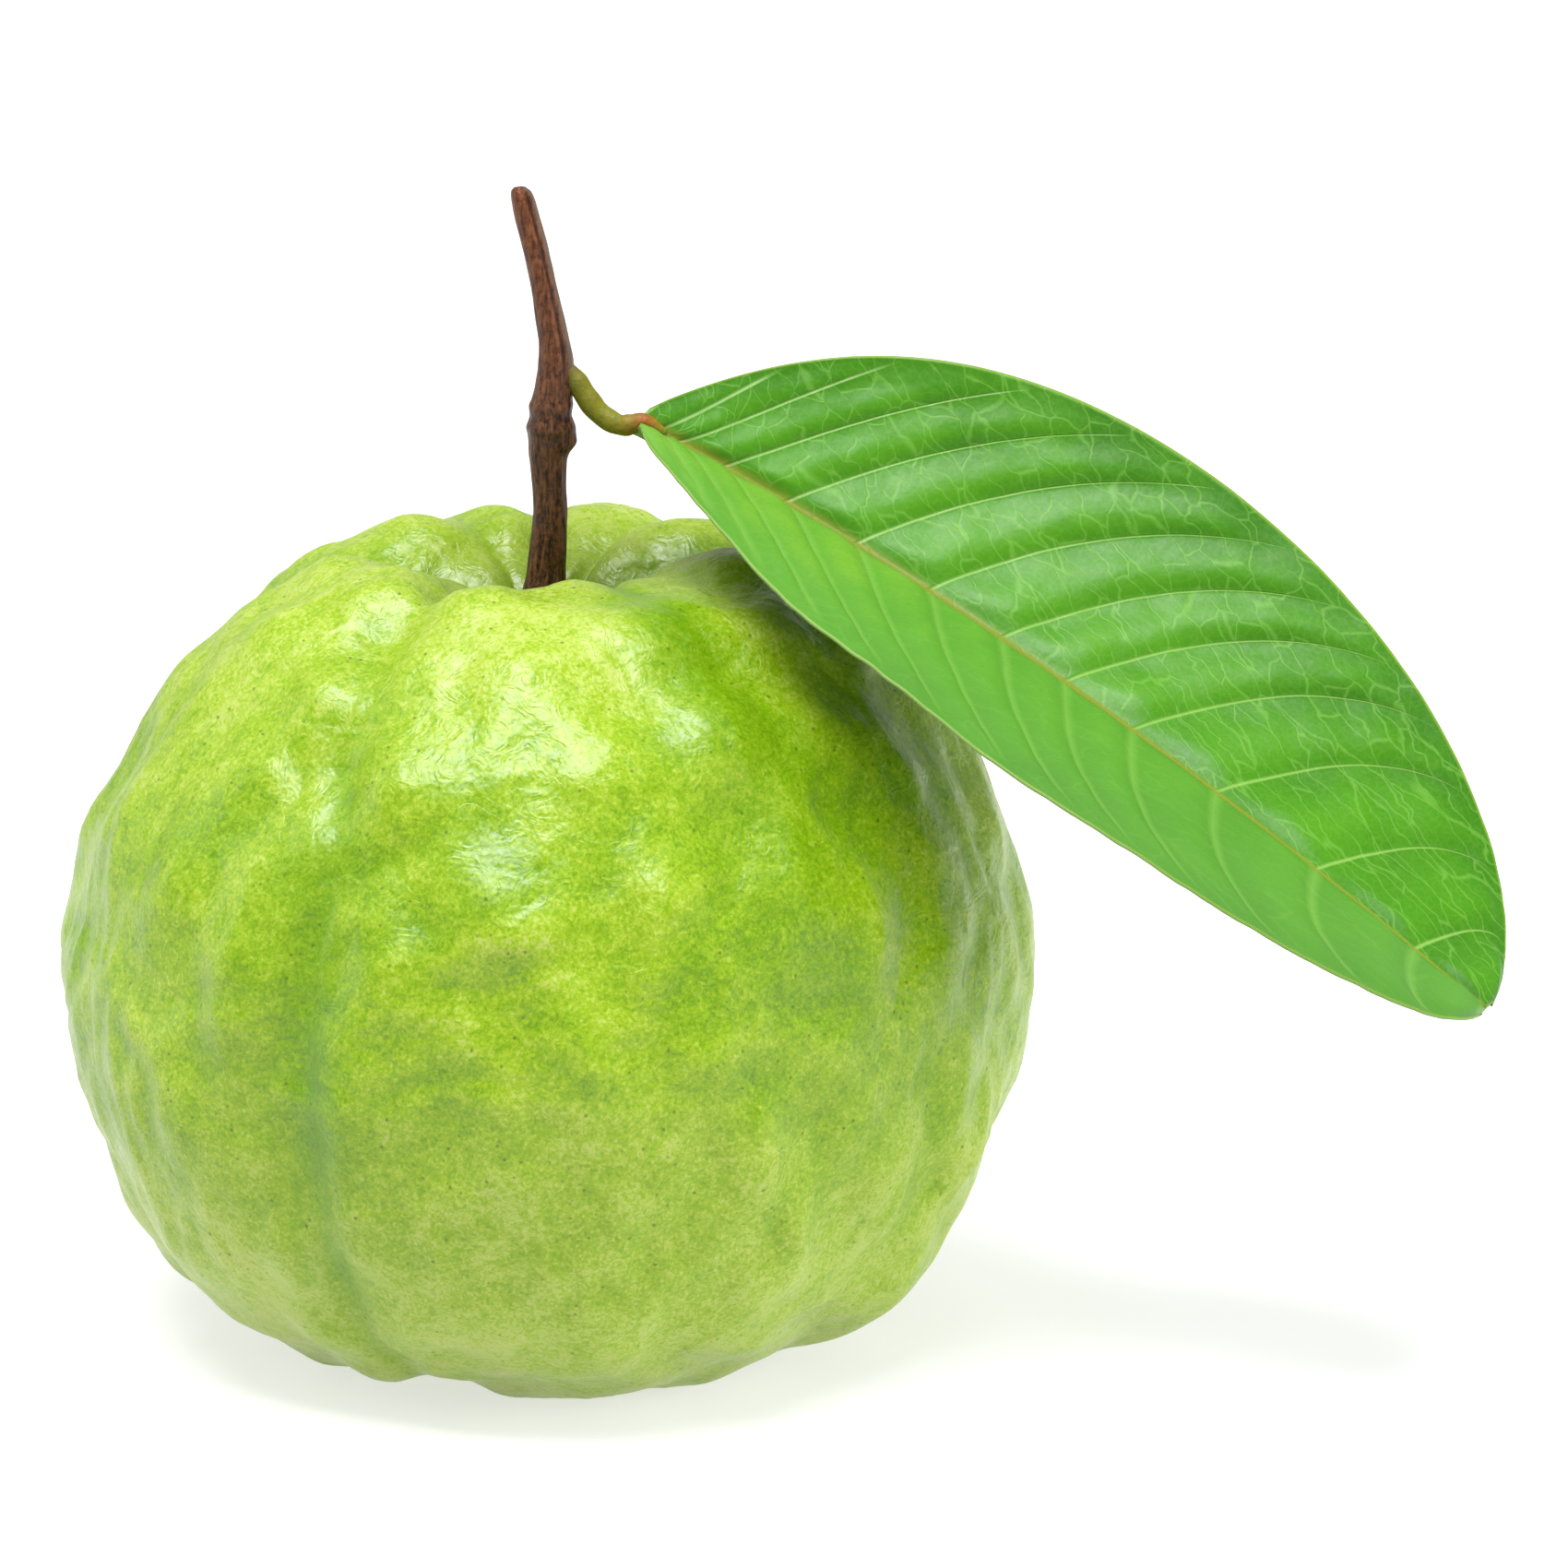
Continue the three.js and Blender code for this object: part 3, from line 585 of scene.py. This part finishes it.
def midrib_at(x):
    """Place and direction of the midrib, x from 0 at the stalk to 1 at the tip."""
    p = np.array(MIDRIB, float)
    x = np.asarray(x, float)[:, None]
    place = (1 - x) ** 3 * p[0] + 3 * (1 - x) ** 2 * x * p[1] + 3 * (1 - x) * x**2 * p[2] + x**3 * p[3]
    along = 3 * (1 - x) ** 2 * (p[1] - p[0]) + 6 * (1 - x) * x * (p[2] - p[1]) + 3 * x**2 * (p[3] - p[2])
    return place, along / np.linalg.norm(along, axis=1)[:, None]


def half_width(x, t):
    oval = np.sqrt(np.maximum(1 - (2 * x - 1) ** 2, 0))
    narrowing = np.where(t < 0, LOWER[4], UPPER[4])
    return BLADE_HALF * oval * (1 - narrowing * np.exp(-x / BLADE_NARROWED))


def blade_points(half, x, b):
    """Middle surface of one half of the blade, x along the midrib and b mm out from it."""
    side, tilt, more, curl, _ = half
    place, along = midrib_at(x)
    facing = np.array(FACING)
    normal = facing - (along @ facing)[:, None] * along
    normal /= np.linalg.norm(normal, axis=1)[:, None]
    across = np.cross(normal, along)
    start = tilt + more * x
    if curl:
        out = (np.sin(start + curl * b) - np.sin(start)) / curl
        lift = (np.cos(start) - np.cos(start + curl * b)) / curl
    else:
        out = b * np.cos(start)
        lift = b * np.sin(start)
    return place + side * across * out[:, None] + normal * lift[:, None]


def vein_points(s, t):
    """Where a side vein that leaves the midrib at s stands when it is the part t of the way out."""
    part = np.abs(t)
    swept = SWEEP_STRAIGHT * part + (1 - SWEEP_STRAIGHT) * part**3
    x = np.minimum(s + SWEEP_REACH * (1 - np.exp(-s / SWEEP_START)) * (1 - s**3) * swept, 1)
    out = part * half_width(x, t)
    upper = blade_points(UPPER, x, out)
    lower = blade_points(LOWER, x, out)
    return np.where((t < 0)[:, None], lower, upper), x, out


def vein_rows():
    """Places along the midrib where rows of the blade's mesh start, with one at every side vein."""
    starts = []
    for low, high in zip(VEINS, VEINS[1:]):
        starts.extend(low + (high - low) * np.arange(ROWS_PER_VEIN) / ROWS_PER_VEIN)
    return np.array(starts + [VEINS[-1]])


def sheet_faces(rows, wide):
    """Faces of an upper and a lower sheet of points and of the rim that joins them."""
    count = rows * wide
    faces = []
    for i in range(rows - 1):
        for j in range(wide - 1):
            a = i * wide + j
            faces.append((a, a + 1, a + wide + 1, a + wide))
            faces.append((count + a, count + a + wide, count + a + wide + 1, count + a + 1))
    rim = list(range(wide))
    rim += [i * wide + wide - 1 for i in range(1, rows)]
    rim += [(rows - 1) * wide + j for j in range(wide - 2, -1, -1)]
    rim += [i * wide for i in range(rows - 2, 0, -1)]
    for a, b in zip(rim, rim[1:] + rim[:1]):
        faces.append((b, a, count + a, count + b))
    return faces


def make_blade():
    starts = vein_rows()
    columns = np.linspace(-1, 1, 2 * HALF_COLUMNS + 1)
    rows, wide = len(starts), len(columns)
    s = np.repeat(starts, wide)
    t = np.tile(columns, rows)
    middle, x, out = vein_points(s, t)
    grid = middle.reshape(rows, wide, 3)
    normal = np.cross(np.gradient(grid, axis=0), np.gradient(grid, axis=1)).reshape(-1, 3)
    normal /= np.maximum(np.linalg.norm(normal, axis=1), 1e-9)[:, None]
    normal *= np.where(normal @ np.array(FACING) < 0, -1, 1)[:, None]

    index = np.clip(np.searchsorted(VEINS, s, side="right") - 1, 0, len(VEINS) - 2)
    edges = np.array(VEINS)
    gap = edges[index + 1] - edges[index]
    u = (s - edges[index]) / gap
    part = np.abs(t)
    room = smooth(*QUILT_IN, part) * (1 - smooth(*QUILT_OUT, part))
    size = np.minimum(gap / QUILT_GAP, 1)
    quilt = QUILT_HEIGHT * size * room * np.sin(np.pi * u**QUILT_SKEW)
    stations = midrib_at(np.linspace(0, 1, MIDRIB_STEPS))[0]
    length = np.linalg.norm(np.diff(stations, axis=0), axis=1).sum()
    flat = np.stack([x * length, np.sign(t) * out, np.zeros_like(x)], 1)
    puckers = PUCKER_HEIGHT * fractal(flat / PUCKER_SIZE, 3, PUCKER_SEED) * smooth(*PUCKER_IN, part)
    edge_place = np.stack([x * length / MARGIN_WAVE_SIZE, np.sign(t) * HALVES_APART, part], 1)
    wave = MARGIN_WAVE * part**3 * noise(edge_place, MARGIN_WAVE_SEED)
    rib_dip = RIB_DIP * bell(out / RIB_DIP_WIDTH) * (1 - RIB_DIP_TAPER * s)
    level = quilt + puckers + wave - rib_dip
    off_margin = half_width(x, t) * (1 - part)
    thick = MARGIN_THICKNESS + (BLADE_THICKNESS - MARGIN_THICKNESS) * smooth(0, MARGIN_WIDTH, off_margin)
    rib = RIB_DEPTH * bell(out / RIB_WIDTH) * (1 - RIB_TAPER * s)
    vein_gap = np.minimum(u, 1 - u) * gap * length * VEIN_SLANT
    vein_below = VEIN_RISE * bell(vein_gap / VEIN_WIDTH) * (1 - smooth(*VEIN_FADES, part)) * size
    upper = middle + normal * (level + thick / 2)[:, None]
    lower = middle + normal * (level - thick / 2 - rib - vein_below)[:, None]

    points = np.concatenate([upper, lower])
    faces = face_out(sheet_faces(rows, wide), points)
    piece = make_piece("leaf_blade_skin", points, faces, "leaf_blade")
    on_both = {
        "vein_gap": vein_gap,
        "rib_gap": out,
        "margin_gap": off_margin,
        "part_out": part,
        "part_along": x,
        "bulge": quilt + puckers,
        "side": (t < 0).astype(float),
    }
    for name, values in on_both.items():
        add_value(piece, name, np.concatenate([values, values]))
    add_value(piece, "under", np.repeat([0.0, 1.0], rows * wide))
    outwards = PANEL_STRETCH * out + PANEL_SHIFT * (index + u) + LOWER_SHIFT * (t < 0)
    panel = np.stack([outwards, PANEL_WIDTH * (index + u), np.zeros_like(out)], 1)
    add_place(piece, "panel", np.concatenate([panel, panel]))
    add_place(piece, "flat", np.concatenate([flat, flat]))
    return piece


def make_calyx():
    turns = 360 * np.arange(CALYX_COLUMNS) / CALYX_COLUMNS
    lobe = np.abs(np.cos(np.radians(turns * CALYX_LOBES / 2))) ** CALYX_ROUND
    reach = CALYX_NOTCH + (CALYX_LOBE - CALYX_NOTCH) * lobe
    parts = np.arange(1, CALYX_ROWS + 1) / CALYX_ROWS
    rings = []
    for below, order in ((0, parts), (1, parts[::-1])):
        for part in order:
            ring, _, _ = skin_points(1 + (reach - 1) * part, turns, fine=False)
            place = np.column_stack([ring[:, :2] / CRINKLE_SIZE, np.full(len(ring), float(below))])
            crinkle = CRINKLE_HEIGHT * noise(place, CRINKLE_SEED)
            crease = SEPAL_CREASE * (1 - lobe) ** 2 * smooth(*SEPAL_FROM, part)
            crease += STYLE_HOLLOW * bell(part / STYLE_WIDTH)
            sepal = CALYX_THICKNESS * (1 - CALYX_TAPER * part) - crease * (1 - SEPAL_TAPER * part)
            crinkled = crinkle * (CRINKLE_LEAST + (1 - CRINKLE_LEAST) * part)
            ring[:, 2] -= CALYX_INSET + below * (sepal + crinkled)
            rings.append(ring)
    top, _, _ = skin_points(np.array([1.0]), np.array([0.0]), fine=False)
    first = top - (0, 0, CALYX_INSET)
    last = first - (0, 0, CALYX_THICKNESS - STYLE_HOLLOW)
    points = np.concatenate([first, *rings, last])
    faces = face_out(ring_faces(2 * CALYX_ROWS, CALYX_COLUMNS), points)
    return make_piece("calyx_crown", points, faces, "calyx")


class Nodes:
    """Builds one node material a step at a time."""

    def __init__(self, name):
        self.material = bpy.data.materials.new(name)
        self.material.use_nodes = True
        self.tree = self.material.node_tree
        self.tree.nodes.clear()
        self.shader = self.add("ShaderNodeBsdfPrincipled")
        output = self.add("ShaderNodeOutputMaterial")
        self.tree.links.new(self.shader.outputs[0], output.inputs[0])

    def add(self, kind, inputs=None, **settings):
        made = self.tree.nodes.new(kind)
        for key, value in settings.items():
            setattr(made, key, value)
        for key, value in (inputs or {}).items():
            self.put(made.inputs[key], value)
        return made

    def put(self, socket, value):
        if isinstance(value, bpy.types.NodeSocket):
            self.tree.links.new(value, socket)
        else:
            socket.default_value = value

    def finish(self, base, roughness, specular, bump, depth):
        """Gives the shader its colour, roughness, even gloss, and bumps of this depth in metres."""
        self.put(self.shader.inputs["Base Color"], base)
        self.put(self.shader.inputs["Roughness"], roughness)
        self.shader.inputs["Specular IOR Level"].default_value = specular
        inputs = {"Height": bump, "Distance": depth, "Strength": 1.0}
        self.put(self.shader.inputs["Normal"], self.add("ShaderNodeBump", inputs).outputs[0])
        return self.material

    def value(self, name):
        return self.add("ShaderNodeAttribute", attribute_name=name).outputs["Fac"]

    def place(self, name, scale=(1, 1, 1)):
        spot = self.add("ShaderNodeAttribute", attribute_name=name).outputs["Vector"]
        return self.scaled(spot, scale)

    def here(self, scale):
        return self.scaled(self.add("ShaderNodeTexCoord").outputs["Object"], scale)

    def scaled(self, spot, scale):
        return self.add("ShaderNodeMapping", {"Vector": spot, "Scale": scale}).outputs[0]

    def cloud(self, spot, scale, detail, rough, bend=0.0):
        inputs = {"Vector": spot, "Scale": scale, "Detail": detail, "Roughness": rough, "Distortion": bend}
        return self.add("ShaderNodeTexNoise", inputs).outputs["Fac"]

    def cells(self, spot, scale, feature="F1"):
        inputs = {"Vector": spot, "Scale": scale}
        return self.add("ShaderNodeTexVoronoi", inputs, feature=feature).outputs["Distance"]

    def math(self, operation, a, b=0.0, clamp=False):
        return self.add("ShaderNodeMath", {0: a, 1: b}, operation=operation, use_clamp=clamp).outputs[0]

    def plus(self, first, *more):
        total = first
        for value in more:
            total = self.math("ADD", total, value)
        return total

    def minus(self, a, b, clamp=False):
        return self.math("SUBTRACT", a, b, clamp)

    def times(self, first, *more):
        total = first
        for value in more:
            total = self.math("MULTIPLY", total, value)
        return total

    def off_middle(self, value, middle=0.5):
        return self.math("ABSOLUTE", self.minus(value, middle))

    def sway(self, tone, field, amount):
        """The tone, moved either way by a field from 0 to 1 that is at rest at one half."""
        return self.plus(tone, self.times(self.minus(field, 0.5), amount))

    def remap(self, value, source, target=(0, 1)):
        inputs = {0: value, 1: source[0], 2: source[1], 3: target[0], 4: target[1]}
        return self.add("ShaderNodeMapRange", inputs, interpolation_type="SMOOTHSTEP").outputs[0]

    def mix(self, factor, a, b):
        return self.add("ShaderNodeMix", {0: factor, 6: a, 7: b}, data_type="RGBA").outputs[2]

    def ramp(self, factor, stops):
        made = self.add("ShaderNodeValToRGB", {"Fac": factor})
        band = made.color_ramp
        band.elements[0].position, band.elements[0].color = stops[0][0], colour(stops[0][1])
        band.elements[1].position, band.elements[1].color = stops[-1][0], colour(stops[-1][1])
        for position, shade in stops[1:-1]:
            band.elements.new(position).color = colour(shade)
        return made.outputs["Color"]


def colour(shade):
    """A surface colour, from how it looks from 0 to 255 in the studio's bright light."""
    linear = [((c / 255 + 0.055) / 1.055) ** 2.4 if c > 10 else c / 255 / 12.92 for c in shade]
    return (*[SURFACE_SHARE * c for c in linear], 1.0)


def skin_material():
    m = Nodes("guava_skin")
    drum = m.place("drum")
    spot = m.here(IN_MM)
    patches = m.cloud(drum, scale=0.05, detail=2, rough=0.5, bend=0.5)
    mottle = m.cloud(drum, scale=0.21, detail=8, rough=0.7, bend=1.3)
    fine_mottle = m.cloud(spot, scale=0.75, detail=4, rough=0.7, bend=1.6)
    grain = m.cloud(spot, scale=2.6, detail=2, rough=0.6)
    curls = m.off_middle(m.cloud(spot, scale=0.5, detail=2, rough=0.6, bend=2.8))
    hairs = m.off_middle(m.cloud(spot, scale=1.1, detail=1, rough=0.6, bend=2.4))
    wisps = m.plus(m.remap(curls, (0.0, 0.06), (1, 0)), m.remap(hairs, (0.0, 0.07), (0.8, 0)))
    # Furrows and creases darker and greener: partly the skin's deeper green, partly painted shade
    furrow_green_and_shade = m.value("furrow_green_and_shade")
    down = m.value("down")

    # Painted light: the shoulder paler under the top light, the blossom end paler from the bright floor below
    painted_top_light = m.remap(down, (30, 58), (TOP_PAINTED_LIGHT, 0))
    painted_base_light = m.remap(down, (76, 110), (0, BASE_PAINTED_LIGHT))
    tone = m.sway(SKIN_TONE, patches, PATCH_SWAY)
    tone = m.plus(tone, m.plus(painted_top_light, painted_base_light))
    tone = m.sway(tone, mottle, MOTTLE_SWAY)
    tone = m.sway(tone, fine_mottle, FINE_SWAY)
    tone = m.sway(tone, grain, GRAIN_SWAY)
    # Raised skin paler and dips darker: partly wax bloom, partly painted sheen and shade
    tone = m.plus(tone, m.times(wisps, WISP_PALES), m.times(m.value("relief"), RELIEF_BLOOM_SHEEN_AND_SHADE))
    # Painted shade in the furrows and creases, with their deeper green
    tone = m.minus(tone, m.times(furrow_green_and_shade, FURROW_SHADOW_DARKENS))
    base = m.ramp(tone, SKIN_SHADES)
    base = m.mix(m.times(furrow_green_and_shade, FURROW_GREEN_AND_SHADOW_SHOWS), base, colour(FURROW_GREEN_AND_SHADOW))

    specks = m.remap(m.cells(spot, 0.62), (0.06, 0.17), (1, 0))
    speck_field = m.remap(m.cloud(spot, scale=0.2, detail=2, rough=0.5), (0.42, 0.56))
    base = m.mix(m.times(specks, speck_field, SPECK_SHOWS), base, colour(SPECK_SHADE))
    # Painted shade in the stem pit
    base = m.mix(m.remap(down, (3, 28), (PIT_SHADOW_SHOWS, 0)), base, colour(PIT_PAINTED_SHADOW))

    dents = m.times(m.cloud(drum, scale=0.24, detail=1.5, rough=0.5, bend=0.3), DENT_BUMP)
    peel = m.times(m.cloud(spot, scale=1.25, detail=1.5, rough=0.5, bend=0.1), PEEL_BUMP)
    folds = m.off_middle(m.cloud(drum, scale=0.3, detail=2, rough=0.55, bend=1.4))
    bump = m.plus(dents, peel, m.remap(folds, (0.0, 0.14), (FOLD_BUMP, 0)))
    rough = m.remap(fine_mottle, (0.35, 0.65), (0.28, 0.44))
    return m.finish(base, rough, specular=0.37, bump=bump, depth=MM)


def leaf_material():
    m = Nodes("leaf_surface")
    flat = m.place("flat")
    side = m.value("side")
    part_out = m.value("part_out")
    part_along = m.value("part_along")
    warp = m.add("ShaderNodeTexNoise", {"Vector": flat, "Scale": 0.35, "Detail": 1.5}).outputs["Color"]
    warp = m.add("ShaderNodeVectorMath", {0: warp, 1: LEAF_WARP}, operation="MULTIPLY").outputs[0]
    bent = m.add("ShaderNodeVectorMath", {0: warp, 1: flat}).outputs[0]
    rungs = m.add("ShaderNodeVectorMath", {0: warp, 1: m.place("panel", (1, 1, 0))}).outputs[0]
    rungs = m.cells(m.scaled(rungs, (0.46, 0.13, 0)), 1.0, "DISTANCE_TO_EDGE")
    rungs = m.remap(rungs, (0.0, 0.045), (1, 0))
    net = m.remap(m.cells(bent, 1.1, "DISTANCE_TO_EDGE"), (0.0, 0.1), (1, 0))
    blotches = m.cloud(flat, scale=0.1, detail=4, rough=0.6, bend=0.5)
    speckle = m.cloud(flat, scale=1.6, detail=4, rough=0.7)

    vein_half = m.plus(m.remap(part_out, (0, 0.9), VEIN_HALVES), m.times(side, LOWER_WIDER))
    side_vein = m.minus(1, m.math("DIVIDE", m.value("vein_gap"), vein_half), clamp=True)
    side_vein = m.times(side_vein, m.remap(part_out, (0.84, 0.99), (1, 0)))
    rib_half = m.remap(part_along, (0, 1), RIB_HALVES)
    rib = m.minus(RIB_SOLID, m.math("DIVIDE", m.value("rib_gap"), rib_half), clamp=True)
    margin = m.remap(m.value("margin_gap"), (0.08, 0.42), (1, 0))
    crisp = m.minus(1, m.times(side, LOWER_SOFTER))

    tone = m.plus(m.times(blotches, BLOTCH_PALES), LEAF_TONE)
    tone = m.sway(tone, speckle, SPECKLE_SWAY)
    # Painted sheen on the crests of the quilting and painted shade in its troughs
    tone = m.sway(tone, m.remap(m.value("bulge"), (-0.2, 0.9)), BULGE_SHEEN_AND_SHADE)
    # Painted sheen near the midrib, fading towards the margin
    tone = m.minus(tone, m.times(m.remap(part_out, (0.35, 0.95)), MIDRIB_SHEEN_FADES))
    tone = m.minus(tone, m.remap(part_along, (0.3, 1), (0, ALONG_DARKENS)))
    # Painted sheen on the lower half, paler towards the stalk
    tone = m.plus(tone, m.times(side, m.remap(part_along, (0.1, 0.55), (STALK_END_SHEEN, 0))))
    base = m.ramp(tone, LEAF_SHADES)
    # Painted sheen of sky light over the lower half
    base = m.mix(m.times(side, LOWER_HALF_SHEEN_SHOWS), base, colour(LOWER_HALF_SHEEN))
    base = m.mix(m.times(net, crisp, NET_SHOWS), base, colour(NET_SHADE))
    base = m.mix(m.times(rungs, crisp, RUNG_SHOWS), base, colour(RUNG_SHADE))
    vein_shows = m.minus(VEIN_SHOWS, m.times(side, VEIN_SHOWS_LESS))
    base = m.mix(m.times(side_vein, vein_shows), base, colour(VEIN_SHADE))
    base = m.mix(m.times(margin, MARGIN_SHOWS), base, colour(MARGIN_SHADE))
    base = m.mix(m.times(rib, RIB_SHOWS), base, colour(RIB_SHADE))
    base = m.mix(m.value("under"), base, m.mix(UNDERSIDE_SHOWS, base, colour(UNDERSIDE_SHADE)))

    bump = m.minus(m.times(side_vein, VEIN_SINKS), m.times(rungs, RUNG_SINKS))
    bump = m.plus(bump, m.times(m.cloud(flat, scale=1.1, detail=1, rough=0.5), LEAF_GRAIN))
    rough = m.remap(speckle, (0.35, 0.65), (0.38, 0.46))
    return m.finish(base, rough, specular=0.24, bump=bump, depth=MM)


def stem_material():
    m = Nodes("stem_bark")
    spot = m.here(IN_MM)
    streaks = m.scaled(spot, (2.3, 2.3, 0.42))
    fibres = m.cloud(streaks, scale=1.0, detail=5, rough=0.65, bend=0.5)
    flecks = m.cloud(spot, scale=1.8, detail=5, rough=0.7)
    height = m.add("ShaderNodeSeparateXYZ", {0: spot}).outputs[2]
    angle = m.value("angle")
    base = m.ramp(m.remap(height, BARK_SPAN), BARK_SHADES)
    dark = m.mix(BARK_DARKENS, base, colour(BARK_DARK))
    light = m.mix(BARK_PALES, base, colour(BARK_PALE))
    tone = m.plus(m.times(fibres, FIBRE_SHARE), m.times(flecks, FLECK_SHARE))
    wood = m.mix(m.remap(tone, (0.4, 0.66)), dark, light)
    high = m.remap(height, STRIP_FROM)
    strip = m.remap(m.off_middle(angle, STRIP_ANGLE), (20, 36), (1, 0))
    strip_shade = m.mix(fibres, colour(STRIP_SHADES[0]), colour(STRIP_SHADES[1]))
    wood = m.mix(m.times(high, strip, STRIP_SHOWS), wood, strip_shade)
    seam = m.remap(m.off_middle(angle, SEAM_ANGLE), (4, 14), (1, 0))
    wood = m.mix(m.times(seam, high, SEAM_SHOWS), wood, colour(SEAM_SHADE))
    wood = m.mix(m.value("cut"), wood, colour(CUT_SHADE))
    bump = m.cloud(streaks, scale=1.0, detail=2, rough=0.5, bend=0.3)
    rough = m.remap(flecks, (0.35, 0.65), (0.34, 0.55))
    return m.finish(wood, rough, specular=0.22, bump=bump, depth=0.16 * MM)


def stalk_material():
    m = Nodes("leaf_stalk")
    flecks = m.cloud(m.here(IN_MM), scale=1.3, detail=5, rough=0.65)
    base = m.ramp(m.value("far"), STALK_SHADES)
    flecked = m.remap(flecks, (0.35, 0.75), (0, STALK_FLECKS_SHOW))
    base = m.mix(flecked, base, colour(STALK_FLECK_SHADE))
    channel = m.remap(m.value("channel"), (0.2, 0.9), (0, CHANNEL_SHOWS))
    base = m.mix(channel, base, colour(CHANNEL_SHADE))
    rough = m.remap(flecks, (0.3, 0.7), (0.4, 0.55))
    return m.finish(base, rough, specular=0.25, bump=flecks, depth=0.2 * MM)


def calyx_material():
    m = Nodes("dried_calyx")
    veins = m.cloud(m.here(IN_MM), scale=0.9, detail=6, rough=0.7, bend=0.8)
    base = m.ramp(veins, CALYX_SHADES)
    rough = m.remap(veins, (0.3, 0.7), (0.7, 0.9))
    return m.finish(base, rough, specular=0.5, bump=veins, depth=0.4 * MM)


def floor_material():
    m = Nodes("floor")
    haze = m.cloud(m.here((1, 1, 1)), scale=3, detail=3, rough=0.5)
    m.put(m.shader.inputs["Base Color"], m.mix(haze, *FLOOR_GREYS))
    m.shader.inputs["Emission Color"].default_value = WHITE
    m.shader.inputs["Emission Strength"].default_value = FLOOR_GLOW
    m.shader.inputs["Roughness"].default_value = 0.9
    m.shader.inputs["Specular IOR Level"].default_value = 0.1
    return m.material


def make_floor():
    mesh = bpy.data.meshes.new("floor")
    reach = FLOOR_REACH
    corners = [(-reach, -reach, 0), (reach, -reach, 0), (reach, reach, 0), (-reach, reach, 0)]
    mesh.from_pydata(corners, [], [(0, 1, 2, 3)])
    mesh.materials.append(floor_material())
    floor = bpy.data.objects.new("floor", mesh)
    bpy.context.scene.collection.objects.link(floor)


def add_light(name, azimuth, elevation, distance, size, power, mirrored):
    light = bpy.data.lights.new(name, "AREA")
    light.shape = "RECTANGLE"
    light.size, light.size_y = size
    light.energy = power
    turn, rise = math.radians(azimuth - 90), math.radians(elevation)
    way = Vector((math.cos(turn) * math.cos(rise), math.sin(turn) * math.cos(rise), math.sin(rise)))
    lamp = bpy.data.objects.new(name, light)
    lamp.location = Vector(LIGHT_AIM) + way * distance
    lamp.rotation_euler = (-way).to_track_quat("-Z", "Y").to_euler()
    lamp.visible_glossy = mirrored
    bpy.context.scene.collection.objects.link(lamp)


def make_camera():
    rise = math.radians(VIEW_ELEVATION)
    looked_at = (Vector(VIEW_CENTRE) - Vector(PLAN_MIDDLE)) * MM
    back = Vector((0, -math.cos(rise), math.sin(rise)))
    data = bpy.data.cameras.new("camera")
    data.lens = VIEW_LENS
    data.sensor_width = VIEW_SENSOR
    data.clip_start = 0.01
    camera = bpy.data.objects.new("camera", data)
    camera.location = looked_at + back * VIEW_DISTANCE * MM
    camera.rotation_euler = (-back).to_track_quat("-Z", "Y").to_euler()
    bpy.context.scene.collection.objects.link(camera)
    bpy.context.scene.camera = camera


def make_world():
    world = bpy.data.worlds.new("studio")
    world.use_nodes = True
    sky = world.node_tree.nodes["Background"]
    sky.inputs["Color"].default_value = WHITE
    sky.inputs["Strength"].default_value = WORLD_GLOW
    bpy.context.scene.world = world


bpy.context.scene.view_settings.view_transform = "Standard"
make_camera()
make_world()
make_floor()
for light in LIGHTS:
    add_light(*light)

make_fruit().data.materials.append(skin_material())
make_stem().data.materials.append(stem_material())
make_stalk().data.materials.append(stalk_material())
make_blade().data.materials.append(leaf_material())
make_calyx().data.materials.append(calyx_material())
